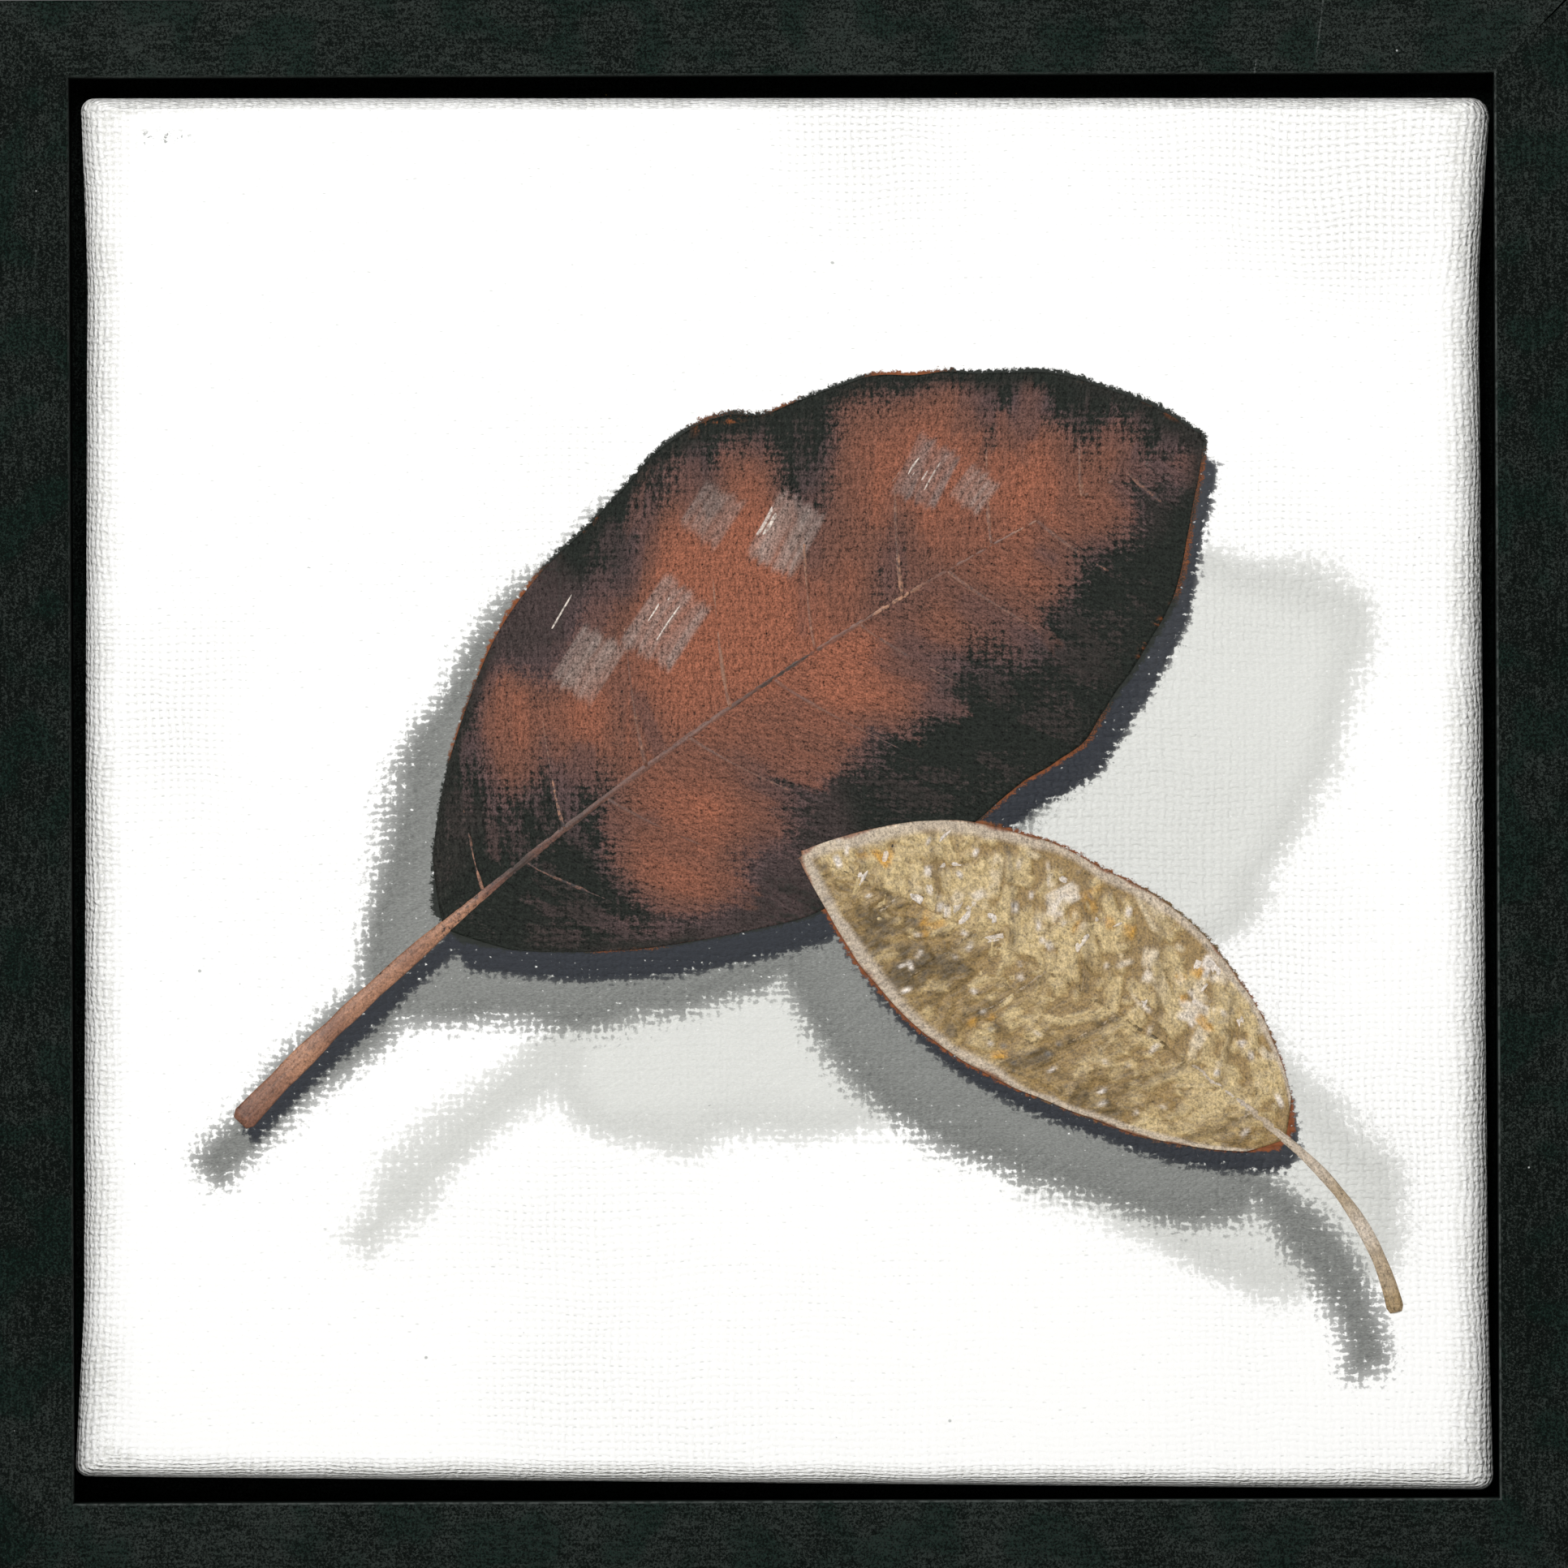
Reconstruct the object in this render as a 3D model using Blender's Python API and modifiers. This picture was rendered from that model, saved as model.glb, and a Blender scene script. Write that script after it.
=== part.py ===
"""A small stretched-canvas picture in a black floater frame, hung from the wall.

Four mitred L-shaped rails make the frame, with a V-nail in the back of each mitre. Inside them the
canvas stands clear of the walls: it is folded round four stretcher bars and stapled at the back, and
four screws through the rails' ledges hold it. A saw-tooth hanger is nailed to the top rail, and two
felt bumpers on the bottom rail keep the frame parallel to the wall.

Metres, +Z up. The picture faces -Y. The origin is on the wall's surface, at the height of the notch
of the hanger that rests on the wall's nail.
"""

import math

import bmesh
import bpy
from mathutils import Matrix, Vector

MM = 0.001
TOUCH = 0.3 * MM  # left between pieces that touch
WELD = 0.001 * MM  # a curve's caps are welded to its sides within this
FLAT_ANGLE = math.radians(0.05)  # faces that meet at less are made one

# The frame. A rail's cross-section is an L: its wall shows from the front, its ledge carries the canvas.
OPENING = 154.2 * MM
FACE_WIDTH = 8.4 * MM
RAIL_DEPTH = 28.2 * MM
LEDGE_REACH = 12.0 * MM
LEDGE_THICK = 6.5 * MM
OUTER_ARRIS = 0.7 * MM
INNER_ARRIS = 0.4 * MM
RAIL_WIDTH = FACE_WIDTH + LEDGE_REACH
FRAME_SIDE = OPENING + 2 * FACE_WIDTH

# Depths along Y, from the wall's surface at 0 towards the viewer.
BUMPER_STANDS = 2.4 * MM
BACK_Y = -BUMPER_STANDS
FRONT_Y = BACK_Y - RAIL_DEPTH
LEDGE_Y = BACK_Y - LEDGE_THICK

# The canvas is hand-stretched and so a little out of square: its gaps to the frame's walls differ.
CLOTH = 0.6 * MM
BAR_THICK = 18.0 * MM
CANVAS_DEPTH = BAR_THICK + 2 * (CLOTH + TOUCH)
FLAP_Y = LEDGE_Y - TOUCH
CANVAS_FRONT_Y = FLAP_Y - CANVAS_DEPTH
GAPS = {  # corner: (gap at the side, gap above or below, how far the corner's folds swell)
    "top_left": (2.05 * MM, 2.10 * MM, 0.95 * MM),
    "top_right": (1.80 * MM, 2.55 * MM, 1.05 * MM),
    "bottom_right": (1.05 * MM, 1.05 * MM, 0.45 * MM),
    "bottom_left": (0.97 * MM, 2.90 * MM, 0.50 * MM),
}
SWELL_REACH = 13.0 * MM
CORNER_RADIUS = 1.9 * MM
FRONT_ROUND = 1.6 * MM
BACK_ROUND = 0.9 * MM
FLAP_WIDTH = 23.0 * MM

# The stretcher bars: the front face falls away behind a bead, so that only the bead meets the cloth.
BAR_WIDTH = 35.0 * MM
BAR_ROUND = 1.6 * MM
BEAD_WIDTH = 6.0 * MM
BEAD_HEIGHT = 1.6 * MM
BAR_SLOPE = 3.2 * MM
TONGUE_THICK = 5.4 * MM
TONGUE_MARGIN = 6.0 * MM

# Small hardware.
V_NAIL_LEG = 5.5 * MM
V_NAIL_THICK = 0.5 * MM
V_NAIL_DEPTH = 5.0 * MM
V_NAIL_INSET = 11.5 * MM
STAPLE_CROWN = 10.0 * MM
STAPLE_WIRE = 0.5 * MM
STAPLE_WIDTH = 1.2 * MM
STAPLE_LEG = 5.5 * MM
STAPLE_INSET = 16.0 * MM
STAPLE_SPREAD = 42.0 * MM
SCREW_LENGTH = 14.0 * MM
SCREW_RADIUS = 1.5 * MM
SCREW_HEAD_RADIUS = 3.0 * MM
SCREW_HEAD_HEIGHT = 1.6 * MM
SCREW_INSET = 6.5 * MM
SCREW_SPREAD = 38.0 * MM
SCREW_RECESS = 1.1 * MM
RECESS_ARM = 1.8 * MM
RECESS_WIDTH = 0.8 * MM

# The saw-tooth hanger: a stamped plate whose middle is pressed out from the wood.
PLATE_LENGTH = 45.0 * MM
PLATE_HEIGHT = 10.5 * MM
PLATE_THICK = 0.8 * MM
PLATE_RAISE = 1.0 * MM
PLATE_CORNER = 2.5 * MM
RAISED_HALF = 13.5 * MM
RAISED_FOOT = 15.5 * MM
TOOTH_PITCH = 2.0 * MM
TOOTH_DEPTH = 0.9 * MM
NOTCH_EXTRA = 0.3 * MM
TOOTH_SPACE_HALF = 0.85 * MM
TEETH_HALF = 12.0 * MM
PLATE_NAIL_X = 19.0 * MM
PLATE_NAIL_RADIUS = 0.7 * MM
PLATE_NAIL_HEAD = 1.6 * MM
PLATE_NAIL_HEAD_THICK = 0.6 * MM
PLATE_NAIL_LENGTH = 8.0 * MM

BUMPER_RADIUS = 4.75 * MM
BUMPER_X = 58.0 * MM

# The frame's centre, below the notch that hangs on the nail.
RAIL_MIDDLE = FRAME_SIDE / 2 - RAIL_WIDTH / 2
CENTRE_Z = -(RAIL_MIDDLE - PLATE_HEIGHT / 2 + TOOTH_DEPTH + NOTCH_EXTRA)

CORNERS = ("top_left", "top_right", "bottom_right", "bottom_left")
SIDES = ("top", "right", "bottom", "left")
CORNER_SIGNS = {
    "top_left": (-1, 1),
    "top_right": (1, 1),
    "bottom_right": (1, -1),
    "bottom_left": (-1, -1),
}


# Scene, materials and collections

def clear_scene():
    for old in list(bpy.data.objects):
        bpy.data.objects.remove(old)


def collection(name):
    made = bpy.data.collections.new(name)
    bpy.context.scene.collection.children.link(made)
    return made


def material(name, colour, roughness, metallic=0.0):
    made = bpy.data.materials.new(name)
    made.use_nodes = True
    made.diffuse_color = (*colour, 1.0)
    shader = made.node_tree.nodes["Principled BSDF"]
    shader.inputs["Base Color"].default_value = (*colour, 1.0)
    shader.inputs["Roughness"].default_value = roughness
    shader.inputs["Metallic"].default_value = metallic
    return made


def finish_piece(piece, name, look, home):
    """Names a piece, gives it its material and puts it in its collection."""
    piece.name = name
    piece.data.materials.clear()
    piece.data.materials.append(look)
    for old in list(piece.users_collection):
        old.objects.unlink(piece)
    home.objects.link(piece)
    return piece


def as_cutter(piece, home):
    piece.hide_render = True
    piece.display_type = "WIRE"
    for old in list(piece.users_collection):
        old.objects.unlink(piece)
    home.objects.link(piece)
    return piece


def cut(piece, name, cutter):
    """Cuts an object, or every object of a collection, out of a piece."""
    boolean = piece.modifiers.new(name, "BOOLEAN")
    boolean.operation = "DIFFERENCE"
    boolean.solver = "EXACT"
    if isinstance(cutter, bpy.types.Collection):
        boolean.operand_type = "COLLECTION"
        boolean.collection = cutter
    else:
        boolean.object = cutter


# Shapes

def rounded(corners, steps=4):
    """An outline of (u, v, radius) corners, each rounded to its radius."""
    points = []
    for i, (u, v, radius) in enumerate(corners):
        here = Vector((u, v))
        if not radius:
            points.append(here)
            continue
        back = (Vector(corners[i - 1][:2]) - here).normalized()
        on = (Vector(corners[(i + 1) % len(corners)][:2]) - here).normalized()
        half = back.angle(on) / 2
        centre = here + (back + on).normalized() * (radius / math.sin(half))
        first = here + back * (radius / math.tan(half)) - centre
        last = here + on * (radius / math.tan(half)) - centre
        turn = -first.angle_signed(last)
        for step in range(steps + 1):
            points.append(centre + Matrix.Rotation(turn * step / steps, 2) @ first)
    return points


def extruded(name, outline, half_length):
    """A mesh object: a closed outline in its own XY plane, extruded both ways along its Z."""
    curve = bpy.data.curves.new(name, "CURVE")
    curve.dimensions = "2D"
    curve.fill_mode = "BOTH"
    curve.extrude = half_length
    spline = curve.splines.new("POLY")
    spline.points.add(len(outline) - 1)
    for point, (u, v) in zip(spline.points, outline):
        point.co = (u, v, 0, 1)
    spline.use_cyclic_u = True
    drawn = bpy.data.objects.new(name + "_outline", curve)
    bpy.context.scene.collection.objects.link(drawn)
    mesh = bpy.data.meshes.new_from_object(drawn.evaluated_get(bpy.context.evaluated_depsgraph_get()))
    bpy.data.objects.remove(drawn)
    work = bmesh.new()
    work.from_mesh(mesh)
    bmesh.ops.remove_doubles(work, verts=work.verts, dist=WELD)
    bmesh.ops.dissolve_limit(work, angle_limit=FLAT_ANGLE, verts=work.verts, edges=work.edges)
    bmesh.ops.recalc_face_normals(work, faces=work.faces)
    work.to_mesh(mesh)
    work.free()
    piece = bpy.data.objects.new(name, mesh)
    bpy.context.scene.collection.objects.link(piece)
    return piece


def turned(name, profile, steps=20):
    """A turned piece: (radius, height) points down the outer side, swept round Z."""
    mesh = bpy.data.meshes.new(name)
    edges = [(i, i + 1) for i in range(len(profile) - 1)]
    mesh.from_pydata([(radius, 0, height) for radius, height in profile], edges, [])
    piece = bpy.data.objects.new(name, mesh)
    bpy.context.scene.collection.objects.link(piece)
    screw = piece.modifiers.new("turn", "SCREW")
    screw.steps = steps
    screw.render_steps = steps
    screw.use_merge_vertices = True
    screw.merge_threshold = WELD
    return piece


def box(name, low, high):
    """A box between two corners."""
    mesh = bpy.data.meshes.new(name)
    work = bmesh.new()
    size = Vector(high) - Vector(low)
    middle = (Vector(high) + Vector(low)) / 2
    bmesh.ops.create_cube(work, size=1, matrix=Matrix.Translation(middle) @ Matrix.Diagonal((*size, 1)))
    work.to_mesh(mesh)
    work.free()
    piece = bpy.data.objects.new(name, mesh)
    bpy.context.scene.collection.objects.link(piece)
    return piece


def joined(name, pieces):
    """Several separate shapes as the parts of one cutter's mesh."""
    bpy.context.view_layer.update()
    work = bmesh.new()
    for piece in pieces:
        copy = piece.data.copy()
        copy.transform(piece.matrix_world)
        work.from_mesh(copy)
        bpy.data.meshes.remove(copy)
        bpy.data.objects.remove(piece)
    mesh = bpy.data.meshes.new(name)
    work.to_mesh(mesh)
    work.free()
    made = bpy.data.objects.new(name, mesh)
    bpy.context.scene.collection.objects.link(made)
    return made


# Plan of the frame and of the canvas: X and Z seen from the front, clockwise from the top left

def frame_corners():
    half = FRAME_SIDE / 2
    return [Vector((sx * half, CENTRE_Z + sz * half)) for sx, sz in map(CORNER_SIGNS.get, CORNERS)]


def canvas_corners(inset=0.0, swollen=False):
    """The canvas's corners, set in from its outer surface by inset."""
    half = OPENING / 2
    corners = []
    for corner in CORNERS:
        sx, sz = CORNER_SIGNS[corner]
        side_gap, end_gap, swell = GAPS[corner]
        reach = half - side_gap - inset + (swell if swollen else 0)
        corners.append(Vector((sx * reach, CENTRE_Z + sz * (half - end_gap - inset))))
    return corners


def canvas_outline(inset, radius):
    """The canvas's outline: its left and right sides are straight, and swell at the folded corners."""
    top_left, top_right, bottom_right, bottom_left = canvas_corners(inset)
    swollen = canvas_corners(inset, swollen=True)
    reach = SWELL_REACH - inset
    right = (bottom_right - top_right).normalized() * reach
    left = (bottom_left - top_left).normalized() * reach
    return rounded(
        [
            (*swollen[0], radius),
            (*swollen[1], radius),
            (*(top_right + right), 0),
            (*(bottom_right - right), 0),
            (*swollen[2], radius),
            (*swollen[3], radius),
            (*(bottom_left - left), 0),
            (*(top_left + left), 0),
        ]
    )


def standing(piece, y):
    """Turns a shape drawn in plan so that its plan is X and Z, with its middle at depth y."""
    piece.rotation_euler = (math.radians(90), 0, 0)
    piece.location = (0, y, 0)
    return piece


def mitred_bar(name, section, start, end, before, after):
    """A bar of one cross-section from corner to corner, its ends mitred to the bars on either side.

    section holds (depth along Y, distance out from the outer line) points. before and after are the
    neighbouring corners, which give the angle of each mitre.
    """
    run = end - start
    length = run.length
    bar = extruded(name, section, length / 2)
    turn_section = Matrix(((0, 0, 1, 0), (1, 0, 0, 0), (0, 1, 0, 0), (0, 0, 0, 1)))
    bar.data.transform(turn_section)
    work = bmesh.new()
    work.from_mesh(bar.data)
    for near, far, beyond, sign in ((start, end, before, -1), (end, start, after, 1)):
        half = (far - near).angle(beyond - near) / 2
        outward = Vector((sign * math.sin(half), 0, -math.cos(half)))
        corner = Vector((sign * length / 2, 0, 0))
        bmesh.ops.bisect_plane(
            work,
            geom=work.verts[:] + work.edges[:] + work.faces[:],
            plane_co=corner - outward * TOUCH / 2,
            plane_no=outward,
            clear_outer=True,
        )
        rim = [edge for edge in work.edges if edge.is_boundary]
        bmesh.ops.holes_fill(work, edges=rim)
    bmesh.ops.recalc_face_normals(work, faces=work.faces)
    work.to_mesh(bar.data)
    work.free()
    middle = (start + end) / 2
    bar.location = (middle.x, 0, middle.y)
    bar.rotation_euler = (0, math.atan2(-run.y, run.x), 0)
    return bar


def ring_of_bars(prefix, section, corners, look, home):
    """Four mitred bars round a plan's corners: {side: bar}."""
    bars = {}
    for i, side in enumerate(SIDES):
        start, end = corners[i], corners[(i + 1) % 4]
        bar = mitred_bar(prefix + side, section, start, end, corners[i - 1], corners[(i + 2) % 4])
        bars[side] = finish_piece(bar, prefix + side, look, home)
    return bars


# Sub-parts

def frame_rails(look, home):
    section = rounded(
        [
            (BACK_Y, 0, INNER_ARRIS),
            (FRONT_Y, 0, OUTER_ARRIS),
            (FRONT_Y, -FACE_WIDTH, INNER_ARRIS),
            (LEDGE_Y, -FACE_WIDTH, 0),
            (LEDGE_Y, -RAIL_WIDTH, INNER_ARRIS),
            (BACK_Y, -RAIL_WIDTH, INNER_ARRIS),
        ]
    )
    return ring_of_bars("frame_rail_", section, frame_corners(), look, home)


def stretcher_bars(look, home, cutters):
    front = CANVAS_FRONT_Y + CLOTH + TOUCH
    back = front + BAR_THICK
    section = rounded(
        [
            (back, 0, 0),
            (front, 0, BAR_ROUND),
            (front, -BEAD_WIDTH, 0),
            (front + BEAD_HEIGHT, -BEAD_WIDTH - BEAD_HEIGHT, 0),
            (front + BAR_SLOPE, -BAR_WIDTH, 0),
            (back, -BAR_WIDTH, 0),
        ]
    )
    corners = canvas_corners(inset=CLOTH + TOUCH)
    bars = ring_of_bars("stretcher_bar_", section, corners, look, home)
    add_corner_tongues(bars, corners, (front + back) / 2, cutters)
    return bars


def add_corner_tongues(bars, corners, middle_y, cutters):
    """Joins each mitre: a tongue on the top or bottom bar in a slot of the bar at the side."""
    for corner, name in zip(corners, CORNERS):
        sx, sz = CORNER_SIGNS[name]
        outer = Vector((corner.x - sx * TONGUE_MARGIN, 0, corner.y - sz * TONGUE_MARGIN))
        inner_x = corner.x - sx * (BAR_WIDTH + TONGUE_MARGIN)
        inner_z = corner.y - sz * (BAR_WIDTH - TONGUE_MARGIN)
        shapes = {}
        for use, grow in (("tongue", 0.0), ("slot", TOUCH)):
            xs = sorted((outer.x + sx * grow, inner_x))
            zs = sorted((outer.z + sz * grow, inner_z - sz * grow))
            half = TONGUE_THICK / 2 + grow
            low = (xs[0], middle_y - half, zs[0])
            high = (xs[1], middle_y + half, zs[1])
            shapes[use] = as_cutter(box(f"{use}_{name}", low, high), cutters)
        end_bar = bars["top" if sz > 0 else "bottom"]
        side_bar = bars["right" if sx > 0 else "left"]
        union = end_bar.modifiers.new(f"tongue_{name}", "BOOLEAN")
        union.operation = "UNION"
        union.solver = "EXACT"
        union.object = shapes["tongue"]
        cut(side_bar, f"slot_{name}", shapes["slot"])


def canvas_block(name, inset, radius, front_round, back_round):
    """The canvas's whole outer form, or what fills it, with its front and back edges rounded."""
    depth = CANVAS_DEPTH - 2 * inset
    block = extruded(name, canvas_outline(inset, radius), depth / 2)
    work = bmesh.new()
    work.from_mesh(block.data)
    for side, amount in ((depth / 2, front_round), (-depth / 2, back_round)):
        rim = [edge for edge in work.edges if all(abs(v.co.z - side) < WELD for v in edge.verts)]
        bmesh.ops.bevel(work, geom=rim, offset=amount, segments=3, profile=0.5, affect="EDGES")
    work.to_mesh(block.data)
    work.free()
    return standing(block, (CANVAS_FRONT_Y + FLAP_Y) / 2)


def stretched_canvas(look, home, cutters):
    """The cloth: front, four sides and the flaps turned over at the back."""
    canvas = canvas_block("canvas", 0.0, CORNER_RADIUS, FRONT_ROUND, BACK_ROUND)
    inside_radius = CORNER_RADIUS - CLOTH
    front_round = FRONT_ROUND - CLOTH
    back_round = BACK_ROUND - CLOTH / 2
    hollow = canvas_block("canvas_hollow", CLOTH, inside_radius, front_round, back_round)
    window_corners = canvas_corners(inset=FLAP_WIDTH)
    window = extruded("canvas_window", window_corners, 3 * CLOTH)
    standing(window, FLAP_Y)
    cut(canvas, "hollow", as_cutter(hollow, cutters))
    cut(canvas, "window", as_cutter(window, cutters))
    return finish_piece(canvas, "canvas", look, home)


def v_nail_outline(grow):
    """An L in plan: two thin legs from a point on the mitre, one along each rail."""
    thick = V_NAIL_THICK / 2 + grow
    leg = V_NAIL_LEG + grow
    return [(-thick, -thick), (leg, -thick), (leg, thick), (thick, thick), (thick, leg), (-thick, leg)]


def v_nails(rails, look, home, cutters):
    for number, corner in enumerate(CORNERS, start=1):
        sx, sz = CORNER_SIGNS[corner]
        half = FRAME_SIDE / 2 - V_NAIL_INSET
        for use, grow in (("corner_nail", 0.0), ("corner_nail_slot", TOUCH)):
            outline = [(-sx * u, -sz * v) for u, v in v_nail_outline(grow)]
            depth = V_NAIL_DEPTH + 4 * grow
            shape = standing(extruded(f"{use}_{number}", outline, depth / 2), 0)
            back = BACK_Y - TOUCH + 3 * grow
            shape.location = (sx * half, back - depth / 2, CENTRE_Z + sz * half)
            if grow:
                as_cutter(shape, cutters)
                cut(rails["top" if sz > 0 else "bottom"], f"nail_slot_{number}", shape)
                cut(rails["right" if sx > 0 else "left"], f"nail_slot_{number}", shape)
            else:
                finish_piece(shape, f"{use}_{number}", look, home)


def staple_outline():
    half = STAPLE_CROWN / 2
    inner = half - STAPLE_WIRE
    foot = -STAPLE_LEG
    return [
        (-half, STAPLE_WIRE),
        (half, STAPLE_WIRE),
        (half, foot),
        (inner, foot),
        (inner, 0),
        (-inner, 0),
        (-inner, foot),
        (-half, foot),
    ]


def staple_places():
    """(plan point, turn about Y) for three staples along each side's flap."""
    corners = canvas_corners(inset=STAPLE_INSET)
    places = []
    for i in range(4):
        start, end = corners[i], corners[(i + 1) % 4]
        run = end - start
        for offset in (-STAPLE_SPREAD, 0, STAPLE_SPREAD):
            places.append(((start + end) / 2 + run.normalized() * offset, math.atan2(-run.y, run.x)))
    return places


def staples(look, home, cutters):
    """The staples, and one cutter with the slots of all their legs."""
    slots = []
    for number, (place, turn) in enumerate(staple_places(), start=1):
        staple = extruded(f"staple_{number:02d}", staple_outline(), STAPLE_WIDTH / 2)
        staple.location = (place.x, FLAP_Y + TOUCH, place.y)
        staple.rotation_euler = (0, turn, 0)
        finish_piece(staple, f"staple_{number:02d}", look, home)
        for side in (-1, 1):
            middle = side * (STAPLE_CROWN / 2 - STAPLE_WIRE / 2)
            half = Vector((STAPLE_WIRE / 2 + TOUCH, 0, STAPLE_WIDTH / 2 + TOUCH))
            low = Vector((middle, -STAPLE_LEG - TOUCH, 0)) - half
            high = Vector((middle, 2 * TOUCH, 0)) + half
            slot = box("leg_slot", low, high)
            slot.location = staple.location
            slot.rotation_euler = staple.rotation_euler
            slots.append(slot)
    return as_cutter(joined("staple_leg_slots", slots), cutters)


def screw_profile(grow):
    head = SCREW_HEAD_RADIUS + grow
    shank = SCREW_RADIUS + grow
    top = 4 * grow
    end = -SCREW_LENGTH - grow
    tip = 2 * SCREW_RADIUS
    return [(0, top), (head, top), (head, 0), (shank, -SCREW_HEAD_HEIGHT), (shank, end + tip), (0, end)]


def canvas_screws(look, home, cutters):
    """Four countersunk screws through the side ledges into the bars, and the collection of their holes."""
    holes = collection("screw_holes")
    holes.hide_render = True
    arm, arm_half = RECESS_ARM, RECESS_WIDTH / 2
    quarter = [(arm_half, arm), (arm_half, arm_half), (arm, arm_half)]
    cross = []
    for turn in range(4):
        spin = Matrix.Rotation(-math.pi / 2 * turn, 2)
        cross += [spin @ Vector(point) for point in quarter]
    number = 0
    for sx in (-1, 1):
        for sz in (-1, 1):
            number += 1
            place = (sx * (OPENING / 2 - SCREW_INSET), BACK_Y - TOUCH, CENTRE_Z + sz * SCREW_SPREAD)
            screw = turned(f"canvas_screw_{number}", screw_profile(0.0))
            hole = turned(f"screw_hole_{number}", screw_profile(TOUCH))
            recess = extruded(f"screw_recess_{number}", cross, SCREW_RECESS)
            for shape in (screw, hole, recess):
                shape.location = place
                shape.rotation_euler = (math.radians(-90), 0, 0)
            as_cutter(hole, holes)
            cut(screw, "recess", as_cutter(recess, cutters))
            finish_piece(screw, f"canvas_screw_{number}", look, home)
    return holes


def hanger_plate(cutters):
    """The plate, its middle pressed out and its lower edge toothed: the middle notch's root is at Z 0."""
    top = PLATE_HEIGHT - TOOTH_DEPTH - NOTCH_EXTRA
    tips = top - PLATE_HEIGHT
    half = PLATE_LENGTH / 2
    corners = [(-half, tips), (-half, top), (half, top), (half, tips)]
    outline = rounded([(*corner, PLATE_CORNER) for corner in corners])
    plate = standing(extruded("hanger_plate", outline, PLATE_THICK / 2), BACK_Y + TOUCH + PLATE_THICK / 2)
    work = bmesh.new()
    work.from_mesh(plate.data)
    for x in (-RAISED_FOOT, -RAISED_HALF, RAISED_HALF, RAISED_FOOT):
        everything = work.verts[:] + work.edges[:] + work.faces[:]
        bmesh.ops.bisect_plane(work, geom=everything, plane_co=(x, 0, 0), plane_no=(1, 0, 0))
    for vertex in work.verts:
        share = (RAISED_FOOT - abs(vertex.co.x)) / (RAISED_FOOT - RAISED_HALF)
        vertex.co.z -= PLATE_RAISE * min(max(share, 0), 1)
    work.to_mesh(plate.data)
    work.free()
    teeth = round(TEETH_HALF / TOOTH_PITCH)
    spaces = []
    for tooth in range(-teeth, teeth + 1):
        depth = TOOTH_DEPTH + (NOTCH_EXTRA if tooth == 0 else 0)
        spread = TOOTH_SPACE_HALF * (depth + TOOTH_DEPTH) / depth
        low = tips - TOOTH_DEPTH
        middle = tooth * TOOTH_PITCH
        outline = [(middle, tips + depth), (middle + spread, low), (middle - spread, low)]
        space = standing(extruded("tooth_space", outline, PLATE_THICK + PLATE_RAISE), plate.location.y)
        spaces.append(space)
    for number, parity in enumerate((0, 1), start=1):
        cutter = as_cutter(joined(f"tooth_spaces_{number}", spaces[parity::2]), cutters)
        cut(plate, cutter.name, cutter)
    return plate


def hanger(look, rails, home, cutters):
    """The toothed plate, and a nail through each end of it into the top rail."""
    plate = hanger_plate(cutters)
    middle = PLATE_HEIGHT / 2 - TOOTH_DEPTH - NOTCH_EXTRA
    head_y = BACK_Y + PLATE_THICK + 2 * TOUCH
    tip = 2 * PLATE_NAIL_RADIUS
    end = -PLATE_NAIL_LENGTH
    radius = PLATE_NAIL_RADIUS
    head = PLATE_NAIL_HEAD
    thick = PLATE_NAIL_HEAD_THICK
    nail_profile = [(0, thick), (head, thick), (head, 0), (radius, 0), (radius, end + tip), (0, end)]
    hole = radius + TOUCH
    hole_profile = [(0, thick), (hole, thick), (hole, end + tip), (0, end - TOUCH)]
    for name, x in (("left", -PLATE_NAIL_X), ("right", PLATE_NAIL_X)):
        nail = turned(f"hanger_nail_{name}", nail_profile, steps=16)
        room = turned(f"hanger_nail_hole_{name}", hole_profile, steps=16)
        for shape in (nail, room):
            shape.location = (x, head_y, middle)
            shape.rotation_euler = (math.radians(-90), 0, 0)
        as_cutter(room, cutters)
        cut(plate, room.name, room)
        cut(rails["top"], room.name, room)
        finish_piece(nail, f"hanger_nail_{name}", look, home)
    return finish_piece(plate, "hanger_plate", look, home)


def bumpers(look, home):
    thick = BUMPER_STANDS - TOUCH
    profile = [(0, thick), (BUMPER_RADIUS, thick), (BUMPER_RADIUS, 0), (0, 0)]
    for name, x in (("left", -BUMPER_X), ("right", BUMPER_X)):
        pad = turned(f"bumper_{name}", profile, steps=32)
        pad.location = (x, -thick, CENTRE_Z - RAIL_MIDDLE)
        pad.rotation_euler = (math.radians(-90), 0, 0)
        finish_piece(pad, f"bumper_{name}", look, home)


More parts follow.
